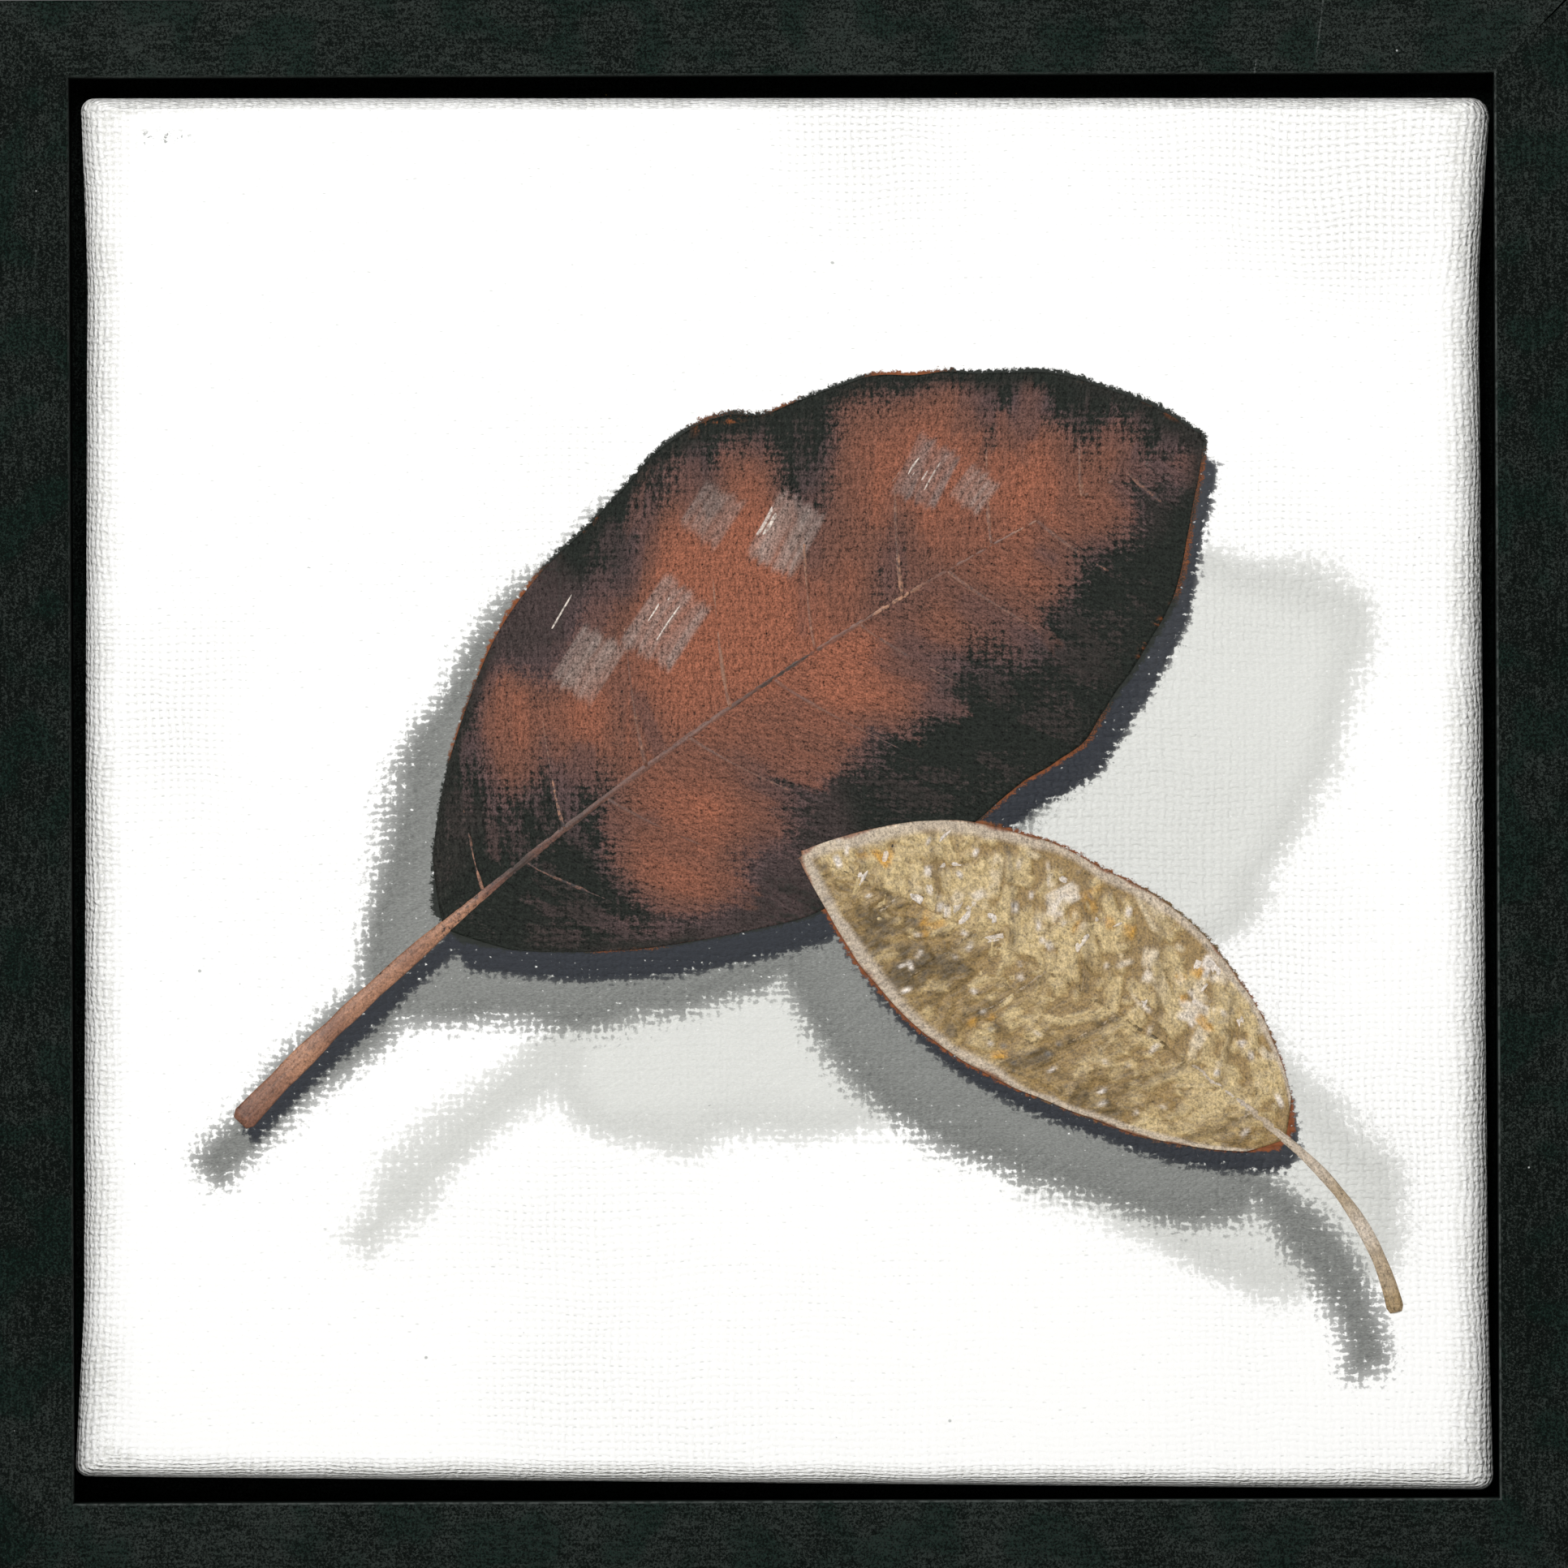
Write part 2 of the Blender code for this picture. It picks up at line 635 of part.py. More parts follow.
def main():
    clear_scene()
    home = collection("framed_canvas")
    cutters = collection("cutters")
    cutters.hide_render = True
    black_paint = material("black_paint", (0.014, 0.019, 0.017), 0.75)
    primed_cloth = material("primed_cloth", (0.87, 0.87, 0.85), 0.8)
    pine = material("pine", (0.62, 0.43, 0.25), 0.6)
    steel = material("steel", (0.55, 0.55, 0.56), 0.35, 1.0)
    dark_steel = material("dark_steel", (0.07, 0.07, 0.075), 0.4, 1.0)
    brassed = material("brassed_steel", (0.66, 0.48, 0.2), 0.3, 1.0)
    felt = material("felt", (0.03, 0.03, 0.032), 0.95)

    rails = frame_rails(black_paint, home)
    bars = stretcher_bars(pine, home, cutters)
    canvas = stretched_canvas(primed_cloth, home, cutters)
    v_nails(rails, steel, home, cutters)
    leg_slots = staples(steel, home, cutters)
    screw_holes = canvas_screws(dark_steel, home, cutters)
    hanger(brassed, rails, home, cutters)
    bumpers(felt, home)

    cut(canvas, "staple_slots", leg_slots)
    cut(canvas, "screw_holes", screw_holes)
    for side, bar in bars.items():
        cut(bar, "staple_slots", leg_slots)
        if side in ("left", "right"):
            cut(bar, "screw_holes", screw_holes)
            cut(rails[side], "screw_holes", screw_holes)


main()
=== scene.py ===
"""Dresses the framed canvas: painted rails, primed cloth with a picture painted on it, and the back.

Metres, +Z up, and the picture faces -Y. Places on the picture are u, to the right, and v, up, in
millimetres from the frame's middle, with a depth behind the cloth's front; paint has a negative depth.
"""

import math

import bmesh
import bpy
import numpy as np
from bpy.props import FloatProperty, FloatVectorProperty, IntProperty, PointerProperty
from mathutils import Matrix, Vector


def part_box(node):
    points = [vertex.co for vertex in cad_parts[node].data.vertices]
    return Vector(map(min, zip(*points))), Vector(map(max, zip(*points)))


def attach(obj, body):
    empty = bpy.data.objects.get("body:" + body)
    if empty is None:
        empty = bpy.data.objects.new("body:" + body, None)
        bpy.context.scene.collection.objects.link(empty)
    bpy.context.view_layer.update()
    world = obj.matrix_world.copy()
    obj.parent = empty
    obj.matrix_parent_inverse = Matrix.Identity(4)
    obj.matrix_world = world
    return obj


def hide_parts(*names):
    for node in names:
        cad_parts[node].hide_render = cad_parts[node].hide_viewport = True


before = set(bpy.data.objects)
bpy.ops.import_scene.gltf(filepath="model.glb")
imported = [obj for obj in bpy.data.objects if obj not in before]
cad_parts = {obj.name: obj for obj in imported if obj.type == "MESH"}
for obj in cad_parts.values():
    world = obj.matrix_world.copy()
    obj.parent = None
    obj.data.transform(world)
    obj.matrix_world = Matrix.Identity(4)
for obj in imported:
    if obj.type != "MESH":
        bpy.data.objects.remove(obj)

bl_info = {
    "name": "Framed Canvas",
    "version": (1, 0, 0),
    "blender": (4, 5, 0),
    "location": "View3D > Sidebar > Framed Canvas",
    "description": "A small stretched canvas, painted with two leaves, in a black floater frame",
    "category": "Object",
}

MM = 0.001

# Places that the frame gives
RAIL_LOW, RAIL_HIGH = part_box("frame_rail_right")
HALF = RAIL_HIGH.x
RAIL_WIDTH = RAIL_HIGH.x - RAIL_LOW.x
FRONT_Y = RAIL_LOW.y
BACK_Y = RAIL_HIGH.y
BOTTOM_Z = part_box("frame_rail_bottom")[0].z
CENTRE_Z = BOTTOM_Z + HALF
CLOTH_FRONT_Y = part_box("canvas")[0].y
CLOTH_DEPTH = (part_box("canvas")[1].y - CLOTH_FRONT_Y) / MM

SIDES = ("top", "right", "bottom", "left")
OUTWARD = {"top": (0, 1), "right": (1, 0), "bottom": (0, -1), "left": (-1, 0)}
CORNERS = ("top_left", "top_right", "bottom_right", "bottom_left")
CORNER_SIGNS = {
    "top_left": (-1, 1),
    "top_right": (1, 1),
    "bottom_right": (1, -1),
    "bottom_left": (-1, -1),
}


def linear(text):
    """A colour in linear light from its usual hexadecimal form."""
    parts = [int(text[i : i + 2], 16) / 255 for i in (1, 3, 5)]
    return tuple(c / 12.92 if c <= 0.04045 else ((c + 0.055) / 1.055) ** 2.4 for c in parts)


def size(label, about, value):
    """A property that holds a length."""
    return FloatProperty(
        name=label, description=about, default=value, subtype="DISTANCE", unit="LENGTH", precision=5
    )


def colour(label, about, text):
    """A property that holds a colour."""
    return FloatVectorProperty(
        name=label, description=about, default=linear(text), size=3, min=0, max=1, subtype="COLOR"
    )


def share(label, about, value):
    """A property that holds a share from 0 to 1."""
    return FloatProperty(name=label, description=about, default=value, min=0, max=1, subtype="FACTOR")


# Settings

class RailSettings(bpy.types.PropertyGroup):
    """The floater frame's rails."""

    face: size("Face", "Width of the rail's face", 8.4 * MM)
    ledge: size("Ledge", "Thickness of the ledge that the canvas is screwed to", 6.5 * MM)
    outer_arris: size("Outer arris", "Radius of the rail's outer front edge", 0.4 * MM)
    inner_arris: size("Inner arris", "Radius of the rail's inner front edge", 0.45 * MM)
    crack: size("Crack", "Width of the crack in the top right mitre, at the outer corner", 0.32 * MM)
    crack_length: size("Crack length", "Length of that crack across the rail", 4.4 * MM)
    black: colour("Black", "The matte paint", "#040a07")
    worn: colour("Worn", "The paint where it is thin or dusty", "#2d3330")
    pit: colour("Pit", "Pores in the paint", "#010201")
    green: colour("Green", "Patches with a green cast", "#06211a")
    # Used for worn arrises and scratches, and for the painted highlight along the inner arrises
    rubbed: colour("Rubbed", "Worn arrises and scratches", "#5b605e")
    dust: colour("Dust", "Specks of dust on the paint", "#b9bdbb")
    roughness: share("Roughness", "Roughness of the paint", 0.78)


class ClothSettings(bpy.types.PropertyGroup):
    """The primed cloth."""

    across: size("Thread pitch across", "Distance between the upright threads", 0.878 * MM)
    up: size("Thread pitch up", "Distance between the level threads", 0.799 * MM)
    thick: size("Thickness", "Thickness of the primed cloth", 0.6 * MM)
    relief: size("Weave relief", "Height of the threads over the gaps between them", 0.12 * MM)
    flap: size("Flap", "Width of the flap at the back", 23.0 * MM)
    spacing: size("Mesh spacing", "Distance between the points of the front's mesh", 0.72 * MM)
    primer: colour("Primer", "The white ground", "#f8f8f7")
    # Painted shade between the threads on the rolled edges and where the weave is open
    valley_shade: colour("Painted shade", "The ground between the threads at the edges", "#dcdcd7")
    pore_shade: colour("Pore", "Gaps between the threads", "#a6a8a4")
    speck: colour("Speck", "Specks in the ground", "#6f7470")
    raw: colour("Raw cloth", "Unprimed cotton at the back", "#cfc3a8")


class PictureSettings(bpy.types.PropertyGroup):
    """The painted picture: a large dark leaf, a small cream one and their shadows."""

    dark: colour("Dark", "Green-black of the large leaf's edges", "#1f231f")
    mauve: colour("Mauve", "Mauve brown of its shaded half", "#514141")
    brown: colour("Brown", "Mahogany of its middle tones", "#6a483c")
    russet: colour("Russet", "Its light brown", "#8b5642")
    glow: colour("Glow", "Its lightest tone", "#b98a6c")
    rim: colour("Rim", "Orange-brown of the rims", "#744020")
    cream: colour("Cream", "The small leaf", "#bca67a")
    shaded: colour("Shaded cream", "The small leaf in shade", "#8d744a")
    umber: colour("Umber", "The small leaf's deepest shade", "#5c4c31")
    ochre: colour("Ochre", "Yellow patches on the small leaf", "#bb8c3c")
    slate: colour("Slate", "Grey-blue mottling on the small leaf", "#6d7680")
    pale: colour("Pale", "Strokes of reflected light", "#d6cbc0")
    pale_shadow: colour("Pale shadow", "The wide shadow", "#d6d7d3")
    grey_shadow: colour("Grey shadow", "The near shadow", "#7d7f7c")
    dark_shadow: colour("Dark shadow", "The shadow under the leaves", "#272b33")
    seed: IntProperty(name="Seed", description="Seed of the brushwork", default=11, min=0)


class BackSettings(bpy.types.PropertyGroup):
    """The wood, metal and felt at the back."""

    pine: colour("Pine", "The stretcher bars' early wood", "#dcb988")
    late_wood: colour("Late wood", "The darker lines of the grain", "#b98a55")
    steel: colour("Steel", "Staples and V-nails", "#b9bbbd")
    brass: colour("Brass", "Plating of the hanger", "#c9a250")
    black_steel: colour("Black steel", "The screws", "#2c2c2f")
    felt: colour("Felt", "The bumpers", "#2b2c2e")
    softening: size("Softening", "Rounding of the small parts' edges", 0.12 * MM)


class StageSettings(bpy.types.PropertyGroup):
    """The camera, the lights and the floor."""

    distance: size("Distance", "From the camera to the frame's face", 6.0)
    width: size("Width", "Width of the view at the frame's face", 169.6 * MM)
    rise: size("Rise", "Height of the view's middle over the frame's middle", 0.42 * MM)
    roll: FloatProperty(
        name="Roll", description="Turn of the view", default=math.radians(0.23), subtype="ANGLE"
    )
    key: FloatProperty(name="Key", description="Strength of the light in front", default=15.6, unit="POWER")
    back: FloatProperty(name="Back", description="Strength of the light behind", default=9.0, unit="POWER")
    fill: FloatProperty(name="Fill", description="Strength of the all-round light", default=0.155, min=0)
    floor: colour("Floor", "The floor", "#e9e8e4")


# Materials

class Wire:
    """An output socket of a material. Arithmetic on it adds Math nodes."""

    def __init__(self, look, socket):
        self.look = look
        self.socket = socket

    def __add__(self, other):
        return self.look.math("ADD", self, other)

    def __sub__(self, other):
        return self.look.math("SUBTRACT", self, other)

    def __mul__(self, other):
        return self.look.math("MULTIPLY", self, other)

    __radd__ = __add__
    __rmul__ = __mul__


class Look:
    """A material, and short calls that build its nodes."""

    def __init__(self, name):
        self.material = bpy.data.materials.new(name)
        self.material.use_nodes = True
        self.tree = self.material.node_tree
        self.shader = self.tree.nodes["Principled BSDF"]

    def feed(self, socket, value):
        if isinstance(value, Wire):
            self.tree.links.new(value.socket, socket)
        elif socket.type == "RGBA":
            socket.default_value = (*value, 1)
        else:
            socket.default_value = value

    def node(self, kind, inputs, output=0, **settings):
        """Adds a node, feeds its inputs, {socket: value}, and gives one of its outputs."""
        made = self.tree.nodes.new("ShaderNode" + kind)
        for name, value in settings.items():
            setattr(made, name, value)
        for name, value in inputs.items():
            self.feed(made.inputs[name], value)
        return Wire(self, made.outputs[output])

    def math(self, operation, a, b=0.0):
        return self.node("Math", {0: a, 1: b}, operation=operation)

    def sine(self, a):
        return self.math("SINE", a)

    def absolute(self, a):
        return self.math("ABSOLUTE", a)

    def larger(self, a, b):
        return self.math("MAXIMUM", a, b)

    def smooth(self, value, low, high):
        """0 at low, 1 at high and a soft step between."""
        inputs = {"Value": value, "From Min": low, "From Max": high}
        return self.node("MapRange", inputs, interpolation_type="SMOOTHSTEP")

    def mix(self, amount, first, second):
        """A colour that goes from first to second."""
        return self.node("Mix", {0: amount, 6: first, 7: second}, output=2, data_type="RGBA")

    def dim(self, tint, amount):
        """A colour multiplied by a number."""
        return self.node("VectorMath", {0: tint, "Scale": amount}, operation="SCALE")

    def attribute(self, name, output="Fac"):
        return self.node("Attribute", {}, output=output, attribute_name=name)

    def place(self):
        """The point's place, in millimetres."""
        return self.drawn(self.node("TexCoord", {}, output="Object"), (1000, 1000, 1000))

    def axes(self, vector):
        """A vector's three numbers."""
        made = self.node("SeparateXYZ", {0: vector}).socket.node
        return [Wire(self, output) for output in made.outputs]

    def vector(self, x, y, z=0.0):
        return self.node("CombineXYZ", {0: x, 1: y, 2: z})

    def drawn(self, vector, by):
        """A vector stretched along each axis."""
        return self.node("VectorMath", {0: vector, 1: by}, operation="MULTIPLY")

    def noise(self, vector, scale, detail=2.0, roughness=0.5):
        """Noise from 0 to 1, with scale features to a unit of the vector."""
        inputs = {"Vector": vector, "Scale": scale, "Detail": detail, "Roughness": roughness}
        return self.node("TexNoise", inputs)

    def cells(self, vector, scale, dimensions="3D"):
        """The distance from the nearest of scattered points, and a random number for that point."""
        inputs = {"Vector": vector, "Scale": scale}
        near = self.node("TexVoronoi", inputs, output="Distance", voronoi_dimensions=dimensions)
        chance = self.axes(Wire(self, near.socket.node.outputs["Color"]))[0]
        return near, chance

    def bump(self, height, distance, strength=1.0):
        return self.node("Bump", {"Height": height, "Distance": distance, "Strength": strength})

    def finish(self, tint, roughness, normal=None, specular=0.5, metallic=0.0):
        """Connects the shader and gives the material."""
        self.feed(self.shader.inputs["Base Color"], tint)
        self.feed(self.shader.inputs["Roughness"], roughness)
        self.shader.inputs["Specular IOR Level"].default_value = specular
        self.shader.inputs["Metallic"].default_value = metallic
        if normal:
            self.feed(self.shader.inputs["Normal"], normal)
        return self.material


def weave(look, p, q):
    """A plain weave at thread counts p and q: its height, from 0 to about 1, its gaps and its chances.

    The gaps are 1 in the long holes between level threads. The chances differ from knuckle to knuckle.
    """
    both = look.vector(p, q)
    chances = look.noise(both, 1.15, 1, 0.6)
    upright = look.sine(p * math.pi)
    level = look.sine(q * math.pi)
    slub = look.noise(look.vector(p, q * 0.06), 1.0, 0)
    slub_level = look.noise(look.vector(p * 0.06, q, 5.0), 1.0, 0)
    crossing = upright * level * 0.34
    upright = look.absolute(upright)
    level = look.absolute(level)
    up = look.math("POWER", upright, 0.7) * (slub * 0.7 + 0.42) + crossing
    across = look.math("POWER", level, 0.7) * (slub_level * 0.7 + 0.5) - crossing
    height = look.larger(up, across) + (chances - 0.5) * 0.35
    gaps = look.smooth(level, 0.4, 0.12) * look.smooth(upright, 0.95, 0.45)
    return height, gaps, chances


SCRATCHES = (  # on the top rail, in millimetres: place to the right, lower and upper end, strength
    (57.0, 7.0, 15.0, 0.5),
    (50.5, 2.0, 8.0, 0.9),
)


def rail_paint(settings, along):
    """Matte black paint, brushed on along a rail, with a painted highlight along its inner arris. along is
    that rail's axis, 0 for X or 2 for Z.
    """
    look = Look("rail_paint_level" if along == 0 else "rail_paint_upright")
    place = look.place()
    stretch = [3.0, 3.0, 3.0]
    stretch[along] = 0.35
    fine = look.noise(place, 3.8, 2, 0.95)
    pits = look.smooth(look.noise(place, 4.6, 1, 0.7), 0.46, 0.3)
    streaks = look.noise(look.drawn(place, stretch), 1.0, 1, 0.6)
    cloudy = look.noise(place, 0.09, 1)
    lifted = 0.08 if along == 0 else 0.0
    rubbed = look.smooth(fine * 1.9 + streaks * 0.5 + cloudy * 0.3, 1.24 - lifted, 1.68 - lifted)
    tint = look.mix(rubbed, settings.black, settings.worn)
    tint = look.mix(pits * 0.75, tint, settings.pit)
    green = look.smooth(look.noise(place, 0.16, 1), 0.48, 0.62) * look.smooth(fine, 0.4, 0.62)
    tint = look.mix(green * 0.6, tint, settings.green)

    x, y, z = look.axes(place)
    in_front = look.smooth(y, FRONT_Y / MM + 2, FRONT_Y / MM + 1)
    run, over = (x, z - CENTRE_Z / MM) if along == 0 else (z, x)
    from_arris = look.absolute(over) - (HALF - settings.face) / MM
    broken = look.smooth(look.noise(look.vector(run, over), 1.2, 1, 0.7), 0.42, 0.6)
    # The inner arris takes the rubbed colour: partly wear, and partly a painted highlight, stronger on the
    # bottom and right rails, whose arrises face the light
    arris_wear_and_highlight = look.smooth(from_arris, 0.0, 0.08) * look.smooth(from_arris, 0.3, 0.16) * (broken * 0.7 + 0.3)
    painted_light_share = look.smooth(over, 1, -1) if along == 0 else look.smooth(over, -1, 1)
    tint = look.mix(arris_wear_and_highlight * in_front * (painted_light_share * 0.4 + 0.15), tint, settings.rubbed)
    if along == 0:
        slant = x - z * 0.12
        for at, low, high, strong in SCRATCHES:
            line = look.smooth(look.absolute(slant - at), 0.14, 0.03) * look.smooth(z, low, low + 1.5)
            scratched = line * look.smooth(z, high, high - 1.5) * look.smooth(fine, 0.35, 0.6)
            tint = look.mix(scratched * in_front * strong, tint, settings.rubbed)
    far, chance = look.cells(place, 0.36)
    speck = look.smooth(far, 0.05, 0.028) * look.smooth(chance, 0.86, 0.9)
    tint = look.mix(speck * 0.75, tint, settings.dust)
    relief = look.bump(fine * 0.8 + streaks * 0.4, 0.05 * MM, 0.7)
    roughness = streaks * 0.12 + (settings.roughness - 0.06)
    return look.finish(tint, roughness, relief, specular=0.06)


def primed_cloth(cloth, picture):
    """White ground over the weave, with painted shade between its threads, and the thin paint of the
    shadows and of the leaves' edges.
    """
    look = Look("primed_cloth")
    p, q, _ = look.axes(look.node("UVMap", {}, uv_map="Threads"))
    height, gaps, chances = weave(look, p, q)
    threads = look.vector(p, q)
    grain = look.noise(threads, 5.0, 0)
    open_weave = look.attribute("open_weave")
    edge = look.attribute("near_edge")
    depth = look.larger(open_weave * 1.1, edge * (chances * 1.9 + 0.3)) + 0.3
    # Painted shade: the ground is darker between the threads on the rolls and where the weave is open,
    # standing in for the shading of the relief and of the rolled edge
    painted_light_share = look.larger(edge * 0.6, open_weave * 0.4)
    low = look.smooth(painted_light_share - height * 0.55 + grain * 0.9 - chances * 0.5, 0.1, 0.7)
    tint = look.mix(low * 0.8, cloth.primer, cloth.valley_shade)
    # Painted shade in the gaps between the level threads
    pores = gaps * look.smooth(chances + open_weave * 0.22, 0.54, 0.8)
    tint = look.mix(pores * 0.45, tint, cloth.pore_shade)
    spots = look.attribute("splashed") * look.smooth(chances * 0.8 + grain * 0.2, 0.56, 0.62)
    tint = look.mix(spots * 0.8, tint, cloth.speck)
    far, chance = look.cells(threads, 0.14, "2D")
    specks = look.smooth(far, 0.035, 0.02) * look.smooth(chance, 0.98, 0.985)
    tint = look.mix(specks * 0.6, tint, cloth.speck)

    slanted = look.vector(p * 0.13 + q * 0.1, q * 1.4 - p * 1.05)
    streak = look.noise(slanted, 1.0, 1, 0.7)
    catch = height * 0.7 + chances * 1.6 + grain * 0.6 - 1.07
    dashes = look.noise(look.vector(p * 1.6 + q * 0.5, q * 3.6 - p * 0.6), 1.3, 1, 0.9)
    washes = (  # name, colour, how softly its edge fades and how uneven it is
        ("pale_shadow", picture.pale_shadow, 6.5, 0.35),
        ("grey_shadow", picture.grey_shadow, 5.0, 1.3),
        ("dark_shadow", picture.dark_shadow, 1.4, 1.3),
    )
    for name, pigment, reach, rough in washes:
        inside = look.attribute(name)
        near_rim = look.smooth(inside, 4.5, 0.0)
        laid = look.smooth(catch + look.smooth(inside, -reach, 1.5) * 1.7, 1.3, 1.75)
        strong = look.smooth(inside, -reach * 0.7, 0.8) * 0.6 + 0.38
        uneven = (streak - 0.5) * 0.3 + (dashes - 0.5) * 0.9 + (catch - 0.4) * near_rim * -0.18
        tint = look.mix(laid * strong, tint, look.dim(pigment, uneven * rough - near_rim * 0.1 + 1.0))
    ragged = (height - 0.8) * 0.25 + (chances - 0.5) * 0.6 + (grain - 0.5) * 0.5
    turned = look.smooth(look.attribute("warmth") + grain * 0.2, 0.62, 0.78)
    outlines = (("large_leaf", picture.dark, picture.rim), ("small_leaf", picture.rim, picture.umber))
    for name, usual, now_and_then in outlines:
        pigment = look.mix(turned, usual, now_and_then)
        laid = look.smooth(look.attribute(name) + ragged, -0.1, 0.2)
        # The outline paint is lighter on the thread tops and darker between them: painted highlight and
        # shade
        tint = look.mix(laid, tint, look.dim(pigment, height * 0.5 + 0.7))
    relief = look.bump(height * depth + grain * 0.15, cloth.relief)
    return look.finish(tint, 0.72, relief, specular=0.3)


def raw_cloth(cloth):
    """The cloth's unprimed back, seen between the stretcher bars."""
    look = Look("raw_cloth")
    p, q, _ = look.axes(look.node("UVMap", {}, uv_map="Threads"))
    height = weave(look, p, q)[0]
    fibres = look.noise(look.vector(p, q), 6.0, 4, 0.8)
    # Darker between the threads: painted shade, with the fibres' own uneven tone
    tint = look.dim(cloth.raw, height * 0.4 + fibres * 0.35 + 0.45)
    return look.finish(tint, 0.95, look.bump(height + fibres * 0.3, cloth.relief), specular=0.2)


def paint_film(cloth, name, roughness, weave_relief_and_shade, specular, streaky, rough):
    """Paint that a mesh carries: its colour, the colour under it, how well it covers, and its brushing."""
    look = Look(name)
    x, _, z = look.axes(look.place())
    height, _, chances = weave(look, x * (MM / cloth.across), z * (MM / cloth.up))
    along, over, pick = look.axes(look.attribute("Flow", "Vector"))
    bristles = look.noise(look.vector(along * 0.12, over * 2.6, pick), 1.0, 1, 0.65)
    flecks = look.noise(look.vector(along * 1.1, over * streaky, pick), 1.0, 2, 0.9)
    grain = look.noise(look.place(), 4.5, 1, 0.8)
    catch = (height - 0.75) * 0.8 + (chances - 0.5) * 1.3 + (flecks - 0.5) * 2.2 + (grain - 0.5) * 1.2
    covered = look.smooth(look.attribute("Cover") * 2.4 - 1.2 + catch, -0.6, 0.6)
    tint = look.mix(covered, look.attribute("Under", "Color"), look.attribute("Paint", "Color"))
    # Painted highlight on the thread tops and painted shade between them, with the paint's own uneven tone
    uneven = (height - 0.75) * weave_relief_and_shade + (flecks + grain + bristles * 0.1 - 1.05) * rough + 0.97
    relief = look.bump(height * weave_relief_and_shade * 1.5 + bristles * 0.6 + grain * 0.15, 0.1 * MM)
    return look.finish(look.dim(tint, uneven), bristles * 0.2 + (roughness - 0.1), relief, specular)


def pine(settings, along):
    """Planed softwood with its grain along a bar."""
    look = Look("pine_level" if along == 0 else "pine_upright")
    stretch = [1.0, 1.0, 1.0]
    stretch[along] = 0.045
    place = look.drawn(look.place(), stretch)
    x, y, z = look.axes(place)
    rings = look.sine((x + z) * 1.5 + y * 0.9 + look.noise(place, 0.22, 2) * 5.0)
    late = look.smooth(rings, 0.1, 0.98)
    fibres = look.noise(place, 7.0, 3, 0.7)
    tint = look.mix(late * 0.75, settings.pine, settings.late_wood)
    tint = look.dim(tint, fibres * 0.3 + 0.86)
    relief = look.bump(fibres * 0.6 + late * 0.4, 0.06 * MM, 0.6)
    return look.finish(tint, late * -0.12 + 0.62, relief, specular=0.35)


def metal(name, tint, roughness, wear):
    """Plated or coated metal, with fine scuffs and some dull patches."""
    look = Look(name)
    place = look.place()
    scuffs = look.noise(look.drawn(place, (1, 1, 6)), 1.6, 4, 0.7)
    dull = look.smooth(look.noise(place, 0.5, 3), 0.45, 0.75)
    shade = look.dim(tint, scuffs * 0.3 + 0.8 - dull * wear)
    relief = look.bump(scuffs, 0.02 * MM, 0.5)
    return look.finish(shade, scuffs * 0.15 + dull * wear + roughness, relief, metallic=1.0)


def pressed_felt(settings):
    """Short matted fibres."""
    look = Look("pressed_felt")
    fibres = look.noise(look.place(), 4.0, 5, 0.8)
    matted = look.noise(look.place(), 0.9, 3)
    tint = look.dim(settings.felt, fibres * 1.1 + matted * 0.5 + 0.2)
    return look.finish(tint, 0.96, look.bump(fibres + matted * 0.5, 0.25 * MM), specular=0.2)


def floor_finish(tint):
    """A plain pale floor, very slightly uneven."""
    look = Look("pale_floor")
    cloudy = look.noise(look.place(), 0.01, 3)
    return look.finish(look.dim(tint, cloudy * 0.06 + 0.97), 0.8, specular=0.2)


# Numbers: soft steps and noise over the picture

def soft_step(value, low, high):
    """0 at low, 1 at high and a soft step between."""
    t = np.clip((value - low) / (high - low), 0, 1)
    return t * t * (3 - 2 * t)


def noise(u, v, scale, seed):
    """Smooth noise from 0 to 1 over a plane, with features about scale across."""
    table = np.random.default_rng(seed).random((64, 64))
    u, v = np.broadcast_arrays(np.asarray(u) / scale, np.asarray(v) / scale)
    i, j = np.floor(u).astype(int), np.floor(v).astype(int)
    s, t = soft_step(u - i, 0, 1), soft_step(v - j, 0, 1)
    low = table[i % 64, j % 64] * (1 - s) + table[(i + 1) % 64, j % 64] * s
    high = table[i % 64, (j + 1) % 64] * (1 - s) + table[(i + 1) % 64, (j + 1) % 64] * s
    return low * (1 - t) + high * t


def rough_noise(u, v, scale, seed):
    """Noise with three sizes of feature, each turned another way."""
    total = 0
    for k in range(3):
        turn = 0.6 + 1.1 * k
        across, up = u * math.cos(turn) - v * math.sin(turn), u * math.sin(turn) + v * math.cos(turn)
        total = total + noise(across, up, scale / 2**k, seed + k) * 0.5**k
    return total / 1.75


def blended(first, second, amount):
    """Colours between two, by an array of amounts."""
    return np.asarray(first) + (np.asarray(second) - np.asarray(first)) * np.asarray(amount)[..., None]


def toned(tone, colours):
    """Colours picked from an even scale of them by tones from 0 to 1."""
    steps = np.linspace(0, 1, len(colours))
    return np.stack([np.interp(tone, steps, [c[k] for c in colours]) for k in range(3)], -1)


# Meshes

def piece_from(mesh, looks, replaced=()):
    """Makes a mesh a piece that rides on the frame, with its materials."""
    piece = bpy.data.objects.new(mesh.name, mesh)
    bpy.context.scene.collection.objects.link(piece)
    for look in looks:
        mesh.materials.append(look)
    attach(piece, "root")
    if replaced:
        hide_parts(*replaced)
    return piece


